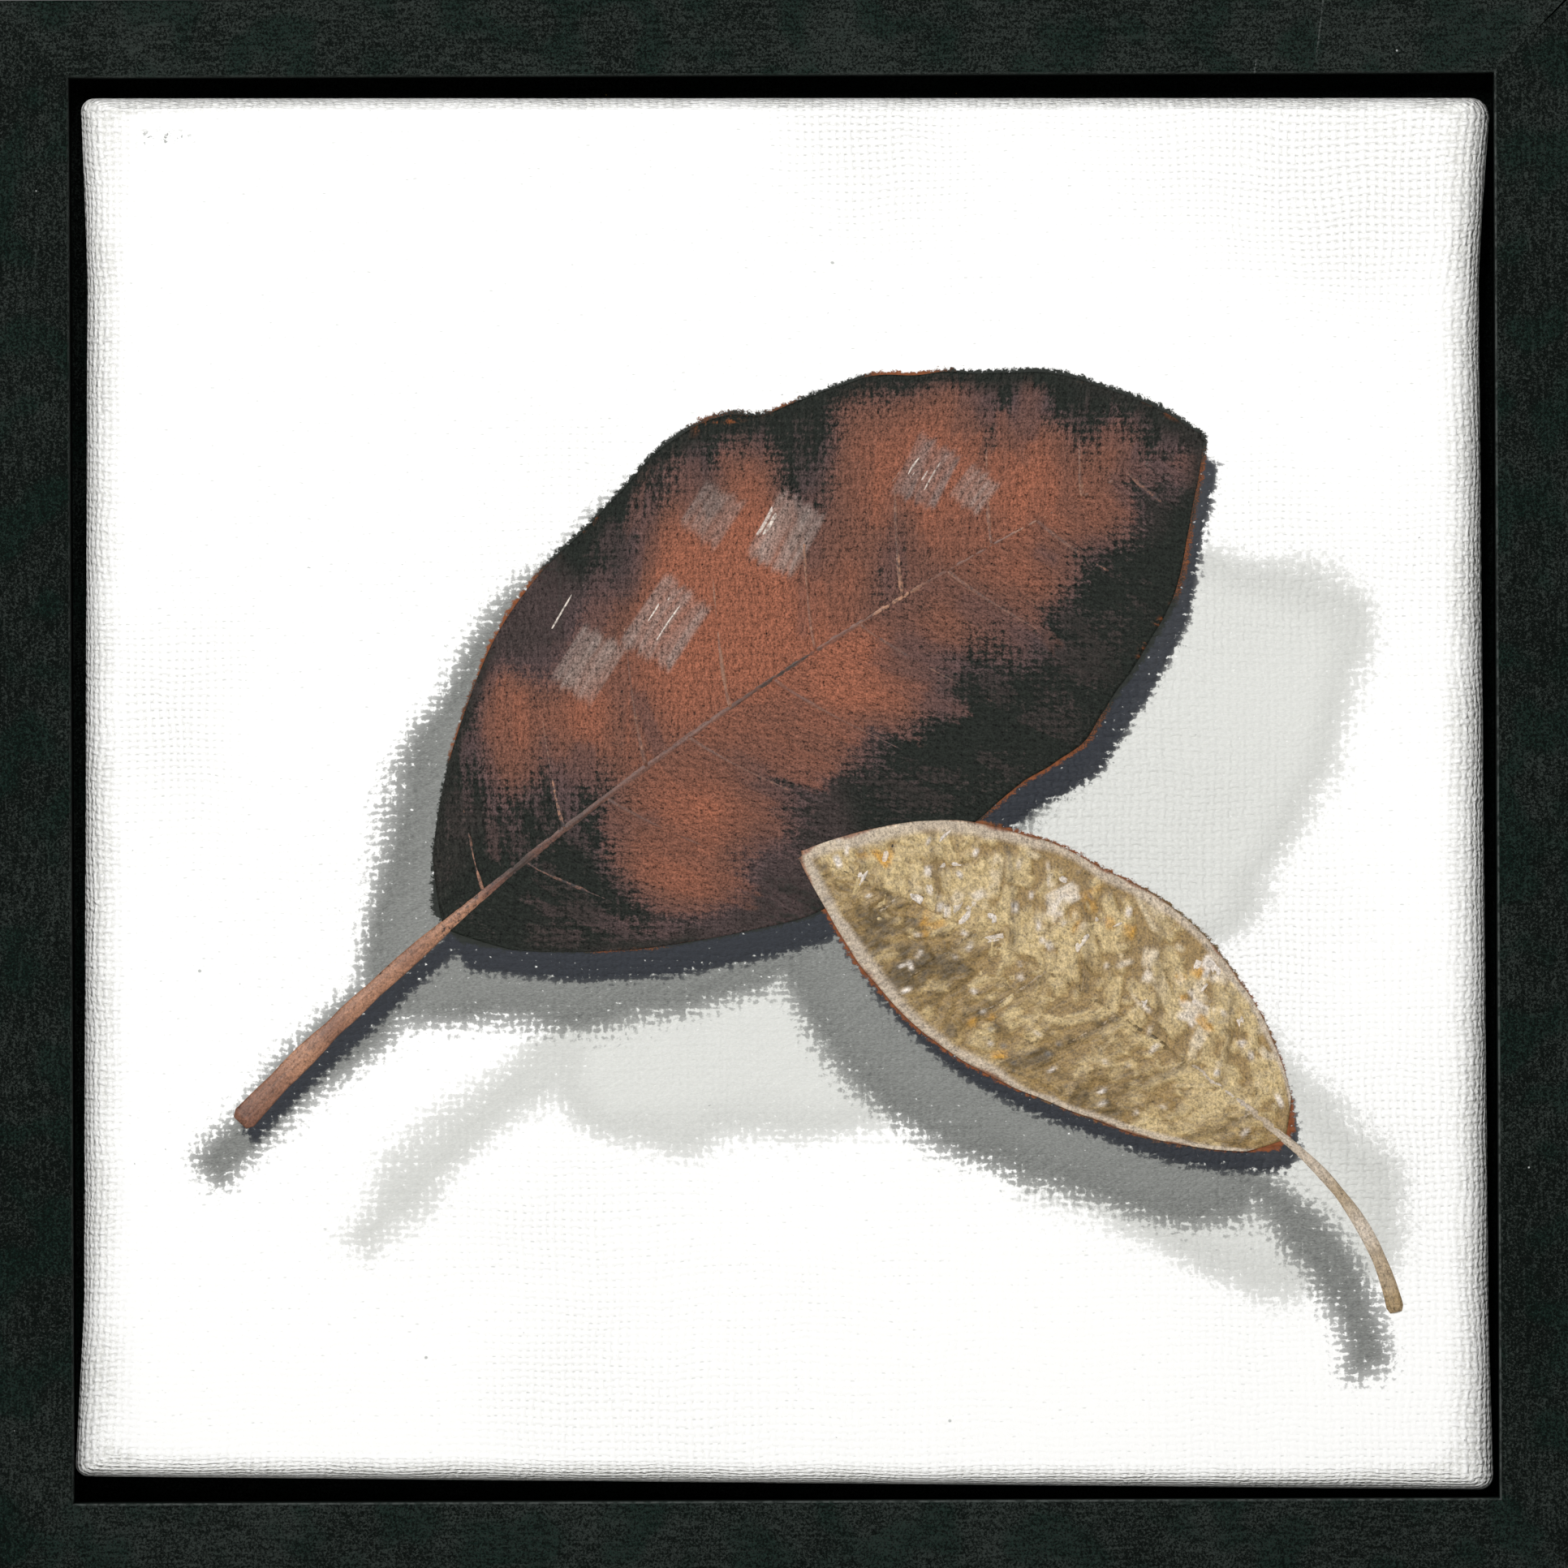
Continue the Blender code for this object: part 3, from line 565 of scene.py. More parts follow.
def mesh_from(name, points, faces):
    """A smooth mesh with all its faces turned outwards."""
    mesh = bpy.data.meshes.new(name)
    mesh.from_pydata(np.asarray(points).tolist(), [], faces)
    work = bmesh.new()
    work.from_mesh(mesh)
    bmesh.ops.recalc_face_normals(work, faces=work.faces)
    work.to_mesh(mesh)
    work.free()
    mesh.shade_smooth()
    return mesh


def grid_faces(index):
    """The four-sided faces of a grid of points."""
    corners = (index[:-1, :-1], index[1:, :-1], index[1:, 1:], index[:-1, 1:])
    return np.stack(corners, -1).reshape(-1, 4).tolist()


def band_faces(near, far):
    """The four-sided faces between two rings of points."""
    return np.stack([near, np.roll(near, -1), np.roll(far, -1), far], -1).tolist()


def face_corners(mesh, faces):
    """The point, and the face, of each corner of each face."""
    points = np.empty(len(mesh.loops), int)
    mesh.loops.foreach_get("vertex_index", points)
    return points, np.repeat(np.arange(len(faces)), [len(face) for face in faces])


def lay_out(mesh, name, places):
    """Gives a mesh a UV map."""
    mesh.uv_layers.new(name=name).data.foreach_set("uv", places.astype(np.float32).ravel())


def on_picture(u, depth, v):
    """Points in the frame's own metres from places on the picture."""
    u, depth, v = np.broadcast_arrays(u, depth, v)
    return np.stack([u * MM, CLOTH_FRONT_Y + depth * MM, CENTRE_Z + v * MM], -1).reshape(-1, 3)


def carry(mesh, name, kind, values):
    """Stores numbers, vectors or colours on a mesh's points."""
    field = {"FLOAT": "value", "FLOAT_VECTOR": "vector", "FLOAT_COLOR": "color"}[kind]
    values = np.asarray(values, np.float32)
    if kind == "FLOAT_COLOR":
        values = np.concatenate([values, np.ones((len(values), 1), np.float32)], 1)
    mesh.attributes.new(name, kind, "POINT").data.foreach_set(field, values.ravel())


def arc(centre, radius, start, end, steps):
    """Points on an arc, angles in degrees."""
    angles = np.radians(np.linspace(start, end, steps + 1))
    return [(centre[0] + radius * math.cos(a), centre[1] + radius * math.sin(a)) for a in angles]


def softened(node, name, width):
    """A copy of a CAD node's mesh with its edges rounded."""
    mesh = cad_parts[node].data.copy()
    mesh.name = name
    mesh.materials.clear()
    custom = mesh.attributes.get("custom_normal")
    if custom:
        mesh.attributes.remove(custom)
    work = bmesh.new()
    work.from_mesh(mesh)
    bmesh.ops.remove_doubles(work, verts=work.verts, dist=0.001 * MM)
    bmesh.ops.dissolve_limit(work, angle_limit=math.radians(2), verts=work.verts, edges=work.edges)
    arrises = [e for e in work.edges if len(e.link_faces) == 2 and e.calc_face_angle() > math.radians(35)]
    bmesh.ops.bevel(
        work, geom=arrises, offset=width, segments=2, profile=0.6, affect="EDGES", clamp_overlap=True
    )
    bmesh.ops.recalc_face_normals(work, faces=work.faces)
    work.to_mesh(mesh)
    work.free()
    mesh.shade_smooth()
    mesh.set_sharp_from_angle(angle=math.radians(50))
    return mesh


# The rails

def rail_section(settings):
    """A rail's outline as (distance in from the outer side, depth along Y), round its L."""
    outer, inner = settings.outer_arris, settings.inner_arris
    face, ledge_y, back = settings.face, BACK_Y - settings.ledge, 0.5 * MM
    points = [(0, y) for y in np.linspace(BACK_Y - back, FRONT_Y + outer, 8)[:-1]]
    points += arc((outer, FRONT_Y + outer), outer, 180, 270, 6)
    points += [(x, FRONT_Y) for x in np.linspace(outer, face - inner, 12)[1:-1]]
    points += arc((face - inner, FRONT_Y + inner), inner, 270, 360, 5)
    points += [(face, y) for y in np.linspace(FRONT_Y + inner, ledge_y, 6)[1:]]
    points += arc((RAIL_WIDTH - back, ledge_y + back), back, 270, 360, 3)
    points += arc((RAIL_WIDTH - back, BACK_Y - back), back, 0, 90, 3)
    points += arc((back, BACK_Y - back), back, 90, 180, 3)[:-1]
    return np.array(points)


def rail_mesh(side, settings):
    """One mitred rail. Its face wavers by a few hundredths of a millimetre, as sanded wood does."""
    section = rail_section(settings)
    inward, depth = section[:, 0], section[:, 1]
    stations = np.linspace(-1, 1, 121)
    ox, oz = OUTWARD[side]
    at_front = depth < FRONT_Y + 1 * MM
    crack = settings.crack / 2 * np.clip(1 - inward / settings.crack_length, 0, 1) ** 0.6
    crack *= at_front
    opened_at = {"top": 1, "right": -1}.get(side, 0)
    rings = []
    for station in stations:
        cracked = crack if station * opened_at > 0 else 0
        along = station * (HALF - inward - cracked)
        waver = (noise(along, inward * 40, 9 * MM, SIDES.index(side)) - 0.5) * 0.05 * MM
        waver *= (1 - station**8) * at_front
        x = ox * (HALF - inward) + oz * along
        z = oz * (HALF - inward) - ox * along
        rings.append(np.stack([x, depth + waver, CENTRE_Z + z], 1))
    count = len(section)
    last = (len(stations) - 1) * count
    faces = []
    around = np.arange(count)
    for first in range(0, last, count):
        faces += band_faces(around + first, around + first + count)
    faces += [around.tolist(), (around + last).tolist()]
    mesh = mesh_from("painted_rail_" + side, np.concatenate(rings), faces)
    mesh.set_sharp_from_angle(angle=math.radians(40))
    return mesh


# The stretched cloth, in millimetres

CORNER_SHAPES = {  # gap beside, gap above or below, swell of the folds, radius and depth of the crease
    "top_left": (2.05, 2.20, 0.80, 1.5, 0.4),
    "top_right": (1.80, 2.75, 1.50, 2.2, 0.2),
    "bottom_right": (0.95, 0.85, 0.35, 1.5, 0.2),
    "bottom_left": (0.97, 2.90, 0.90, 1.4, 0.2),
}
ROLLS = {"top": 1.2, "right": 4.4, "bottom": 2.3, "left": 4.0}  # how far in each side's roll starts
ROLL = (  # share of that distance, and depth
    (1.0, 0.0),
    (0.88, 0.03),
    (0.76, 0.1),
    (0.64, 0.21),
    (0.53, 0.37),
    (0.43, 0.58),
    (0.34, 0.86),
    (0.26, 1.2),
    (0.19, 1.6),
    (0.12, 2.1),
    (0.05, 2.75),
    (0.0, 3.4),
    (0.0, 3.8),
)
ROLL_DEPTH = ROLL[-1][1]
SHARES = {"top": 0.28, "right": 1.0, "bottom": 0.6, "left": 0.9}  # share of that depth on each side
# The same zone takes the painted shade between the threads
RELIEF = (1.4, 0.45)  # the threads' relief starts, and is full, so many rolls' widths in from the edge
RELIEF_WIDER = 0.6  # and it starts so much further in beside the corners
BACK_ROUND = 0.9
SWELL_REACH = 20.0
FOLD_SINK = 0.32
CREASE_WIDTH = 0.5
OUTSIDE = -9.0  # a distance that is well outside any painted shape
SPLASH = (-67.0, 70.6)  # the middle of a short row of specks
SPLASH_REACH = (3.0, 0.8)
STALK_SHADOW = 2.4  # the width of a stalk's shadow
SUNK = 0.25  # how deep the back of the thick paint lies in the cloth
DRIFT = 1.4  # how far the threads wander from straight lines
LIGHT_SLOPE = math.radians(58)  # the slope of the square lights and of the strokes beside them


def half_opening():
    """Half the width of the frame's opening."""
    return (HALF - bpy.context.scene.rail_settings.face) / MM


def cloth_corner(index, roll, inset):
    """A corner of the cloth's outline, moved in by a share of the rolls and by an inset."""
    name = CORNERS[index % 4]
    sx, sz = CORNER_SIGNS[name]
    beside, beyond = CORNER_SHAPES[name][:2]
    beside += ROLLS["left" if sx < 0 else "right"] * roll + inset
    beyond += ROLLS["top" if sz > 0 else "bottom"] * roll + inset
    return np.array((sx * (half_opening() - beside), sz * (half_opening() - beyond)))


def cloth_side(index, shares, roll, inset):
    """Points along a side of the outline, from one corner's middle to the next."""
    start, end = cloth_corner(index, roll, inset), cloth_corner(index + 1, roll, inset)
    length = np.linalg.norm(end - start)
    travelled = shares * length
    set_in = np.zeros_like(travelled)
    for corner in (index, index + 1):
        radius = max(CORNER_SHAPES[CORNERS[corner % 4]][3] * (1 - roll) - inset, 0.01)
        from_corner = travelled if corner == index else length - travelled
        turn = np.radians(45) * np.clip(1 - from_corner / radius, 0, 1)
        bent = np.where(turn > 0, radius - radius * np.sin(turn), from_corner)
        travelled = bent if corner == index else length - bent
        set_in += radius - radius * np.cos(turn)
    out = np.array(OUTWARD[SIDES[index]], float)
    return start + travelled[:, None] * (end - start) / length - set_in[:, None] * out


def swollen(places):
    """Places on the cloth, moved out beside the corners where the folds swell."""
    u, v = places[:, 0].copy(), places[:, 1]
    for index, name in enumerate(CORNERS):
        corner = cloth_corner(index, 0, 0)
        near = np.clip(1 - np.abs(v - corner[1]) / SWELL_REACH, 0, 1) ** 1.2
        near *= soft_step(np.abs(places[:, 0] - corner[0]), SWELL_REACH, 0)
        u += np.sign(corner[0]) * CORNER_SHAPES[name][2] * near
    return np.stack([u, v], 1)


def front_level(u, v):
    """Depth of the cloth's front: it waves very slightly between its edges."""
    inner = soft_step(half_opening() - 5 - np.maximum(np.abs(u), np.abs(v)), 0, 12)
    return (rough_noise(u, v, 38, 3) - 0.5) * 0.12 * inner


def roll_share(places):
    """Share of the usual depth that the rolls have beside each place."""
    level_side = soft_step(np.abs(places[:, 1]) - np.abs(places[:, 0]), -3, 3)
    level = np.where(places[:, 1] > 0, SHARES["top"], SHARES["bottom"])
    upright = np.where(places[:, 0] > 0, SHARES["right"], SHARES["left"])
    return upright + level_side * (level - upright)


def fold_sink(places):
    """How far the flaps lie sunk beside the folds at the corners, where one layer passes under another."""
    beside = (np.abs(places[:, 0]) - np.abs(places[:, 1])) / math.sqrt(2)
    return FOLD_SINK * soft_step(beside, 0.05, 0.4) * soft_step(beside, 8, 1)


def crease(places):
    """Depth of the groove that the folded corner leaves in the front, along its diagonal."""
    depth = 0
    for index, name in enumerate(CORNERS):
        du, dv = np.abs(places - cloth_corner(index, 0, 0)).T
        groove = np.exp(-(((du - dv) / CREASE_WIDTH) ** 2)) * soft_step(du + dv, 7, 2)
        depth = depth + CORNER_SHAPES[name][4] * groove
    return depth


def near_edge(places):
    """0 inside the cloth's front, and about 1 on its rolls. The zone widens towards the corners."""
    near = np.zeros(len(places))
    corners = [cloth_corner(index, 0, 0) for index in range(4)]
    wide = soft_step(np.min([np.linalg.norm(places - corner, axis=1) for corner in corners], 0), 24, 5)
    for index, side in enumerate(SIDES):
        start, end = corners[index], corners[(index + 1) % 4]
        way = (end - start) / np.linalg.norm(end - start)
        out = (places - start) @ np.array((-way[1], way[0]))
        near += soft_step(out, -ROLLS[side] * (RELIEF[0] + RELIEF_WIDER * wide), -ROLLS[side] * RELIEF[1])
    return np.minimum(near * (0.6 + 0.8 * rough_noise(*places.T, 6, 75)), 1.1)


def cloth_rows(settings):
    """Rows round the cloth from the front's edge, as (share of the roll, inset, depth).

    Gives as well how many there are before the cloth turns in behind its flaps.
    """
    flap, thick = settings.flap / MM, settings.thick / MM
    rows = [(roll, 0, depth) for roll, depth in ROLL]
    rows += [(0, 0, depth) for depth in np.linspace(ROLL_DEPTH, CLOTH_DEPTH - BACK_ROUND, 7)[1:]]
    for a in np.radians(np.linspace(0, 90, 5)[1:]):
        rows.append((0, BACK_ROUND * (1 - math.cos(a)), CLOTH_DEPTH - BACK_ROUND * (1 - math.sin(a))))
    rows += [(0, inset, CLOTH_DEPTH) for inset in np.linspace(BACK_ROUND, flap, 12)[1:]]
    turned_in = len(rows)
    rows += [(0, inset, CLOTH_DEPTH - thick) for inset in (flap, flap / 2, thick)]
    rows.append((0, thick, CLOTH_DEPTH / 2))
    rows += [(roll, thick, depth + thick) for roll, depth in reversed(ROLL)]
    return rows, turned_in


def cloth_front(settings):
    """The front's points, closer together at its edges, their numbers in a grid and those round the edge.

    Gives as well the shares of a side at which the points lie.
    """
    steps = round(2 * half_opening() / (settings.spacing / MM))
    even = np.linspace(-1, 1, steps + 1)
    shares = (1.06 * even - 0.06 * even**9 + 1) / 2
    s, t = [grid.reshape(-1, 1) for grid in np.meshgrid(shares, shares, indexing="ij")]
    high = cloth_corner(0, 1, 0) * (1 - s) + cloth_corner(1, 1, 0) * s
    low = cloth_corner(3, 1, 0) * (1 - s) + cloth_corner(2, 1, 0) * s
    front = low * (1 - t) + high * t
    index = np.arange(len(front)).reshape(steps + 1, steps + 1)
    edge = np.concatenate([index[:-1, -1], index[-1, :0:-1], index[:0:-1, 0], index[0, :-1]])
    return front, index, edge, shares


def cloth_mesh(settings):
    """The cloth as one closed shell: its front, rolls, sides and flaps, and the layer behind them.

    flat holds where each point lies on the cloth before it is folded, for the weave and for the bake.
    """
    front, index, edge, shares = cloth_front(settings)
    rows, turned_in = cloth_rows(settings)
    rings, plan, base = [edge], [front], [front]
    depth, run = [front_level(*front.T) + crease(front)], [np.zeros(len(front))]
    travelled = 0.0
    for before, row in zip(rows, rows[1:]):
        ring = np.concatenate([cloth_side(k, shares[:-1], row[0], row[1]) for k in range(4)])
        sideways = (before[0] - row[0]) * ROLLS["left"] + row[1] - before[1]
        travelled += math.hypot(sideways, row[2] - before[2])
        rings.append(np.arange(len(ring)) + sum(map(len, plan)))
        plan.append(ring)
        base.append(front[edge])
        sunk = fold_sink(ring) if row[2] == CLOTH_DEPTH else 0
        share = roll_share(ring) if row[2] < ROLL_DEPTH else 1
        groove = crease(ring) if row[2] < ROLL_DEPTH / 2 else 0
        depth.append(np.full(len(ring), row[2]) * share + groove - sunk)
        run.append(np.full(len(ring), travelled))
    flat_plan, base, depth, run = map(np.concatenate, (plan, base, depth, run))
    plan = swollen(flat_plan)
    faces = grid_faces(index)
    side = [0] * len(faces)
    inner = [False] * len(faces)
    around = np.repeat(np.arange(4), len(shares) - 1).tolist()
    for k, (near, far) in enumerate(zip(rings, rings[1:])):
        faces += band_faces(near, far)
        side += around
        inner += [k + 1 >= turned_in] * len(around)
    faces.append(rings[-1].tolist())
    side.append(0)
    inner.append(True)
    mesh = mesh_from("primed_canvas", on_picture(plan[:, 0], depth, plan[:, 1]), faces)
    mesh.polygons.foreach_set("material_index", np.array(inner, np.int32))
    points, face = face_corners(mesh, faces)
    out = np.array([OUTWARD[name] for name in SIDES], float)[np.array(side)[face]]
    flat = np.where(out == 0, flat_plan[points], base[points] + out * run[points][:, None])
    within = np.array(inner)[face][:, None]
    drift = [
        (rough_noise(*flat.T, 9, seed) + rough_noise(*flat.T, 3, seed) * 0.3) * DRIFT for seed in (61, 65)
    ]
    pitch = (settings.across / MM, settings.up / MM)
    threads = np.where(within, plan[points], flat + np.stack(drift, 1)) / pitch
    # In the bake's map the whole flat cloth lies in the middle, and the layer behind is small, in a corner
    span = 2 * (np.abs(flat[~within[:, 0]]).max() + 1)
    bake = np.where(within, plan[points] / span * 0.17 + 0.09, flat / span + 0.5)
    lay_out(mesh, "Threads", threads)
    lay_out(mesh, "OFBake", bake)
    carry(mesh, "near_edge", "FLOAT", np.where(depth > ROLL_DEPTH, 1.0, near_edge(flat_plan)))
    return mesh, plan[: len(front)]


# The picture

def depth_inside(u, v, outline):
    """Distance in from a closed outline, and negative outside it."""
    inside = np.full(u.shape, OUTSIDE)
    low, high = outline.min(0) + OUTSIDE, outline.max(0) - OUTSIDE
    near = (u > low[0]) & (u < high[0]) & (v > low[1]) & (v < high[1])
    u, v = u[near], v[near]
    nearest = np.full(u.shape, -OUTSIDE)
    within = np.zeros(u.shape, bool)
    for (au, av), (bu, bv) in zip(outline, np.roll(outline, -1, 0)):
        du, dv = bu - au, bv - av
        t = np.clip(((u - au) * du + (v - av) * dv) / (du * du + dv * dv), 0, 1)
        nearest = np.minimum(nearest, np.hypot(u - au - t * du, v - av - t * dv))
        if dv:
            within ^= ((av > v) != (bv > v)) & (u < au + (v - av) * du / dv)
    inside[near] = np.where(within, nearest, -nearest)
    return inside


class Leaf:
    """A leaf's plan: a bent midrib, and a blade that widens and narrows along it.

    s goes from 0 at the base to 1 at the tip, and t from -1 to 1 across, positive to the left.
    """

    PEAK = 0.3732  # the greatest value that the curve of the width has

    def __init__(self, base, tip, stalk, half_width, bend, veins, seed):
        self.base = np.array(base, float)
        self.tip = np.array(tip, float)
        self.stalk = np.array(stalk, float)
        self.half_width = half_width
        self.veins = veins
        self.seed = seed
        across = self.tip - self.base
        self.length = np.linalg.norm(across)
        self.bow = (self.base + self.tip) / 2 + bend * np.array((-across[1], across[0]))

    def midrib(self, s):
        """Places on the midrib."""
        s = np.asarray(s, float)[..., None]
        return self.base * (1 - s) ** 2 + self.bow * 2 * s * (1 - s) + self.tip * s**2

    def forward(self, s):
        """The midrib's direction."""
        s = np.asarray(s, float)[..., None]
        way = (self.bow - self.base) * (1 - s) + (self.tip - self.bow) * s
        return way / np.linalg.norm(way, axis=-1, keepdims=True)

    def half(self, s):
        """Half the blade's width."""
        return self.half_width * s**0.55 * (1 - s) ** 0.95 / self.PEAK

    def place(self, s, t):
        """A place on the blade. Lines of one s lean forward as the side veins do."""
        s, t = np.broadcast_arrays(np.asarray(s, float), np.asarray(t, float))
        forward = self.forward(s)
        left = np.stack([-forward[..., 1], forward[..., 0]], -1)
        uneven = rough_noise(s * self.length, np.sign(t) * 50, 16, self.seed) - 0.5
        half = self.half(s) * (1 + 0.22 * uneven * np.abs(t) ** 3)
        lean = 0.62 * half * np.abs(t) ** 1.15
        return self.midrib(s) + left * (half * t)[..., None] + forward * lean[..., None]

    def between_veins(self, s, t):
        """How far a place lies from one side vein to the next, from 0 to 1."""
        return (s * self.veins + 0.25 * np.sign(t)) % 1

    def vein_angle(self, s, t):
        """The direction of the side veins at a place."""
        ahead = self.place(s, t + 0.03 * np.sign(t)) - self.place(s, t)
        return math.atan2(ahead[1], ahead[0])

    def flow(self, s, t):
        """Distances along the side veins and across them, and a number for the side of the midrib."""
        return np.stack([np.abs(t) * self.half(s) * 1.15, s * self.length * 0.82, np.sign(t) * 3], -1)

    def outline(self):
        """The blade's closed edge."""
        s = np.linspace(0.002, 1, 140)
        return np.concatenate([self.place(s, 1), self.place(s[-2::-1], -1)])

    def stalk_route(self):
        """The stalk's middle line, from inside the blade's base outwards."""
        s = np.linspace(-0.12, 1, 40)[:, None]
        outwards = (self.base - self.bow) / np.linalg.norm(self.base - self.bow)
        bow = self.base + outwards * 0.55 * np.linalg.norm(self.stalk - self.base)
        return self.base * (1 - s) ** 2 + bow * 2 * s * (1 - s) + self.stalk * s**2


LARGE = Leaf(base=(-38, -16), tip=(46, 38), stalk=(-59, -36), half_width=27, bend=0.07, veins=9, seed=15)
SMALL = Leaf(base=(55, -39), tip=(1, -7), stalk=(66, -57), half_width=13.5, bend=-0.09, veins=7, seed=9)


def across_route(route):
    """Unit vectors to the left of a route."""
    way = np.gradient(route, axis=0)
    way /= np.linalg.norm(way, axis=1, keepdims=True)
    return np.stack([-way[:, 1], way[:, 0]], 1)


def distances_along(route):
    """How far along a route each of its points lies."""
    return np.concatenate([[0], np.cumsum(np.linalg.norm(np.diff(route, axis=0), axis=1))])


def strip_outline(route, width):
    """A closed outline round a route."""
    left = across_route(route) * width / 2
    return np.concatenate([route + left, (route - left)[::-1]])


def thin_paint(places):
    """Numbers at the cloth's points for its thin paint, specks and open weave.

    A painted shape's number is how far inside it a point lies. The shapes' names are given as well.
    """
    u, v = places.T
    large, small = LARGE.outline(), SMALL.outline()
    long_stalk, short_stalk = [strip_outline(leaf.stalk_route(), STALK_SHADOW) for leaf in (LARGE, SMALL)]
    shapes = {  # how far its edge strays, and the outlines that it is made of, each with its shift
        "pale_shadow": (7.0, ((large, (15, -19)), (small, (9, -13)), (long_stalk, (13, -13)))),
        "grey_shadow": (
            4.0,
            (
                (small, (-4.5, -6.5)),
                (large, (-5.5, -7)),
                (long_stalk, (-3, -5)),
                (short_stalk, (-3, -5)),
            ),
        ),
        "dark_shadow": (1.2, ((large, (1.2, -3.2)), (small, (1.0, -2.6)), (long_stalk, (0.8, -1.7)))),
        "large_leaf": (0, ((large, (0, 0)),)),
        "small_leaf": (0, ((small, (0, 0)),)),
    }
    fields = {}
    for name, (uneven, parts) in shapes.items():
        inside = np.max([depth_inside(u - du, v - dv, outline) for outline, (du, dv) in parts], 0)
        strays = (rough_noise(u, v, 13, len(name)) - 0.5) * uneven
        fields[name] = np.where(inside > OUTSIDE, inside + strays, OUTSIDE)
    fields["warmth"] = rough_noise(u, v, 11, 71)
    splash_u, splash_v = (u - SPLASH[0]) / SPLASH_REACH[0], (v - SPLASH[1]) / SPLASH_REACH[1]
    fields["splashed"] = np.exp(-(splash_u**4) - splash_v**4)
    fields["open_weave"] = soft_step(rough_noise(u, v, 34, 73) + u / half_opening() * 0.14, 0.3, 0.85)
    return fields, set(shapes)


class Paint:
    """Paint at points of the picture, built up stroke by stroke.

    It holds the paint's colour, how well it covers and its thickness.
    """

    def __init__(self, places, colour, cover):
        self.u, self.v = places[..., 0], places[..., 1]
        self.colour = np.broadcast_to(colour, places.shape[:-1] + (3,)).copy()
        self.cover = np.broadcast_to(cover, places.shape[:-1]).copy()
        self.thick = np.zeros(places.shape[:-1])

    def stroke(self, place, angle, length, width, tint, strong, thick, chance):
        """A flat brush's stroke: square ends broken by the bristles, and a ridge along each side."""
        du, dv = self.u - place[0], self.v - place[1]
        along = du * math.cos(angle) + dv * math.sin(angle)
        over = dv * math.cos(angle) - du * math.sin(angle)
        near = (np.abs(along) < length * 0.6) & (np.abs(over) < width * 0.6)
        along, over = along[near], over[near]
        bend = over + along**2 / length * 0.12 + chance.random() * 60
        bristle = noise(bend, along * 0.05 + chance.random() * 60, 0.42, 5)
        ragged = (noise(bend, 0, 0.4, 7) - 0.5) * length * 0.12
        sides = width / 2 - np.abs(over)
        laid = soft_step(length / 2 - np.abs(along) + ragged, 0, 0.8) * soft_step(sides, 0, 0.35)
        amount = np.clip(laid * strong * (0.4 + bristle), 0, 1)
        self.colour[near] = blended(self.colour[near], tint, amount)
        self.cover[near] += (1 - self.cover[near]) * amount
        ridge = 1 + 0.7 * np.exp(-((sides / 0.3) ** 2))
        self.thick[near] = self.thick[near] * (1 - 0.55 * laid) + laid * thick * (0.4 + bristle) * ridge

    def nearest(self, places):
        """The painted points nearest to some places, and how far off they are, squared."""
        known = np.stack([self.u.ravel(), self.v.ravel()], 1)
        far = [((known - place) ** 2).sum(1) for place in places]
        return np.array([f.argmin() for f in far]), np.array([f.min() for f in far])

    def level_at(self, places):
        """The paint's thickness, and 0 well away from it."""
        index, far = self.nearest(places)
        return np.where(far < 0.5, self.thick.ravel()[index], 0.0)

    def colour_at(self, places):
        """The paint's colour."""
        return self.colour.reshape(-1, 3)[self.nearest(places)[0]]


def film_mesh(name, paint, under, flow, raised):
    """A closed skin of paint over a grid of places, with a flat back sunk in the cloth."""
    depth = front_level(paint.u, paint.v) - raised - paint.thick
    m, n = depth.shape
    index = np.arange(m * n).reshape(m, n)
    edge = np.concatenate([index[:-1, 0], index[-1, :-1], index[:0:-1, -1], index[0, :0:-1]])
    back = m * n + np.arange(len(edge))
    faces = grid_faces(index)
    front_faces = len(faces)
    faces += band_faces(edge, back)
    faces.append(back.tolist())
    u, v = paint.u.ravel(), paint.v.ravel()
    u, v = np.concatenate([u, u[edge]]), np.concatenate([v, v[edge]])
    depths = np.concatenate([depth.ravel(), np.full(len(edge), SUNK)])
    mesh = mesh_from(name, on_picture(u, depths, v), faces)
    cover = paint.cover.ravel()
    carry(mesh, "Cover", "FLOAT", np.concatenate([cover, cover[edge]]))
    for attribute, kind, values in (
        ("Paint", "FLOAT_COLOR", paint.colour),
        ("Under", "FLOAT_COLOR", under),
        ("Flow", "FLOAT_VECTOR", flow),
    ):
        values = values.reshape(-1, 3)
        carry(mesh, attribute, kind, np.concatenate([values, values[edge]]))
    points, face = face_corners(mesh, faces)
    plan = np.stack([u, v], 1)[points]
    plan = (plan - plan.min(0)) / np.ptp(plan, axis=0).max()
    bake = np.where((face < front_faces)[:, None], plan * 0.94 + 0.05, plan * 0.03 + 0.005)
    lay_out(mesh, "OFBake", bake)
    return mesh


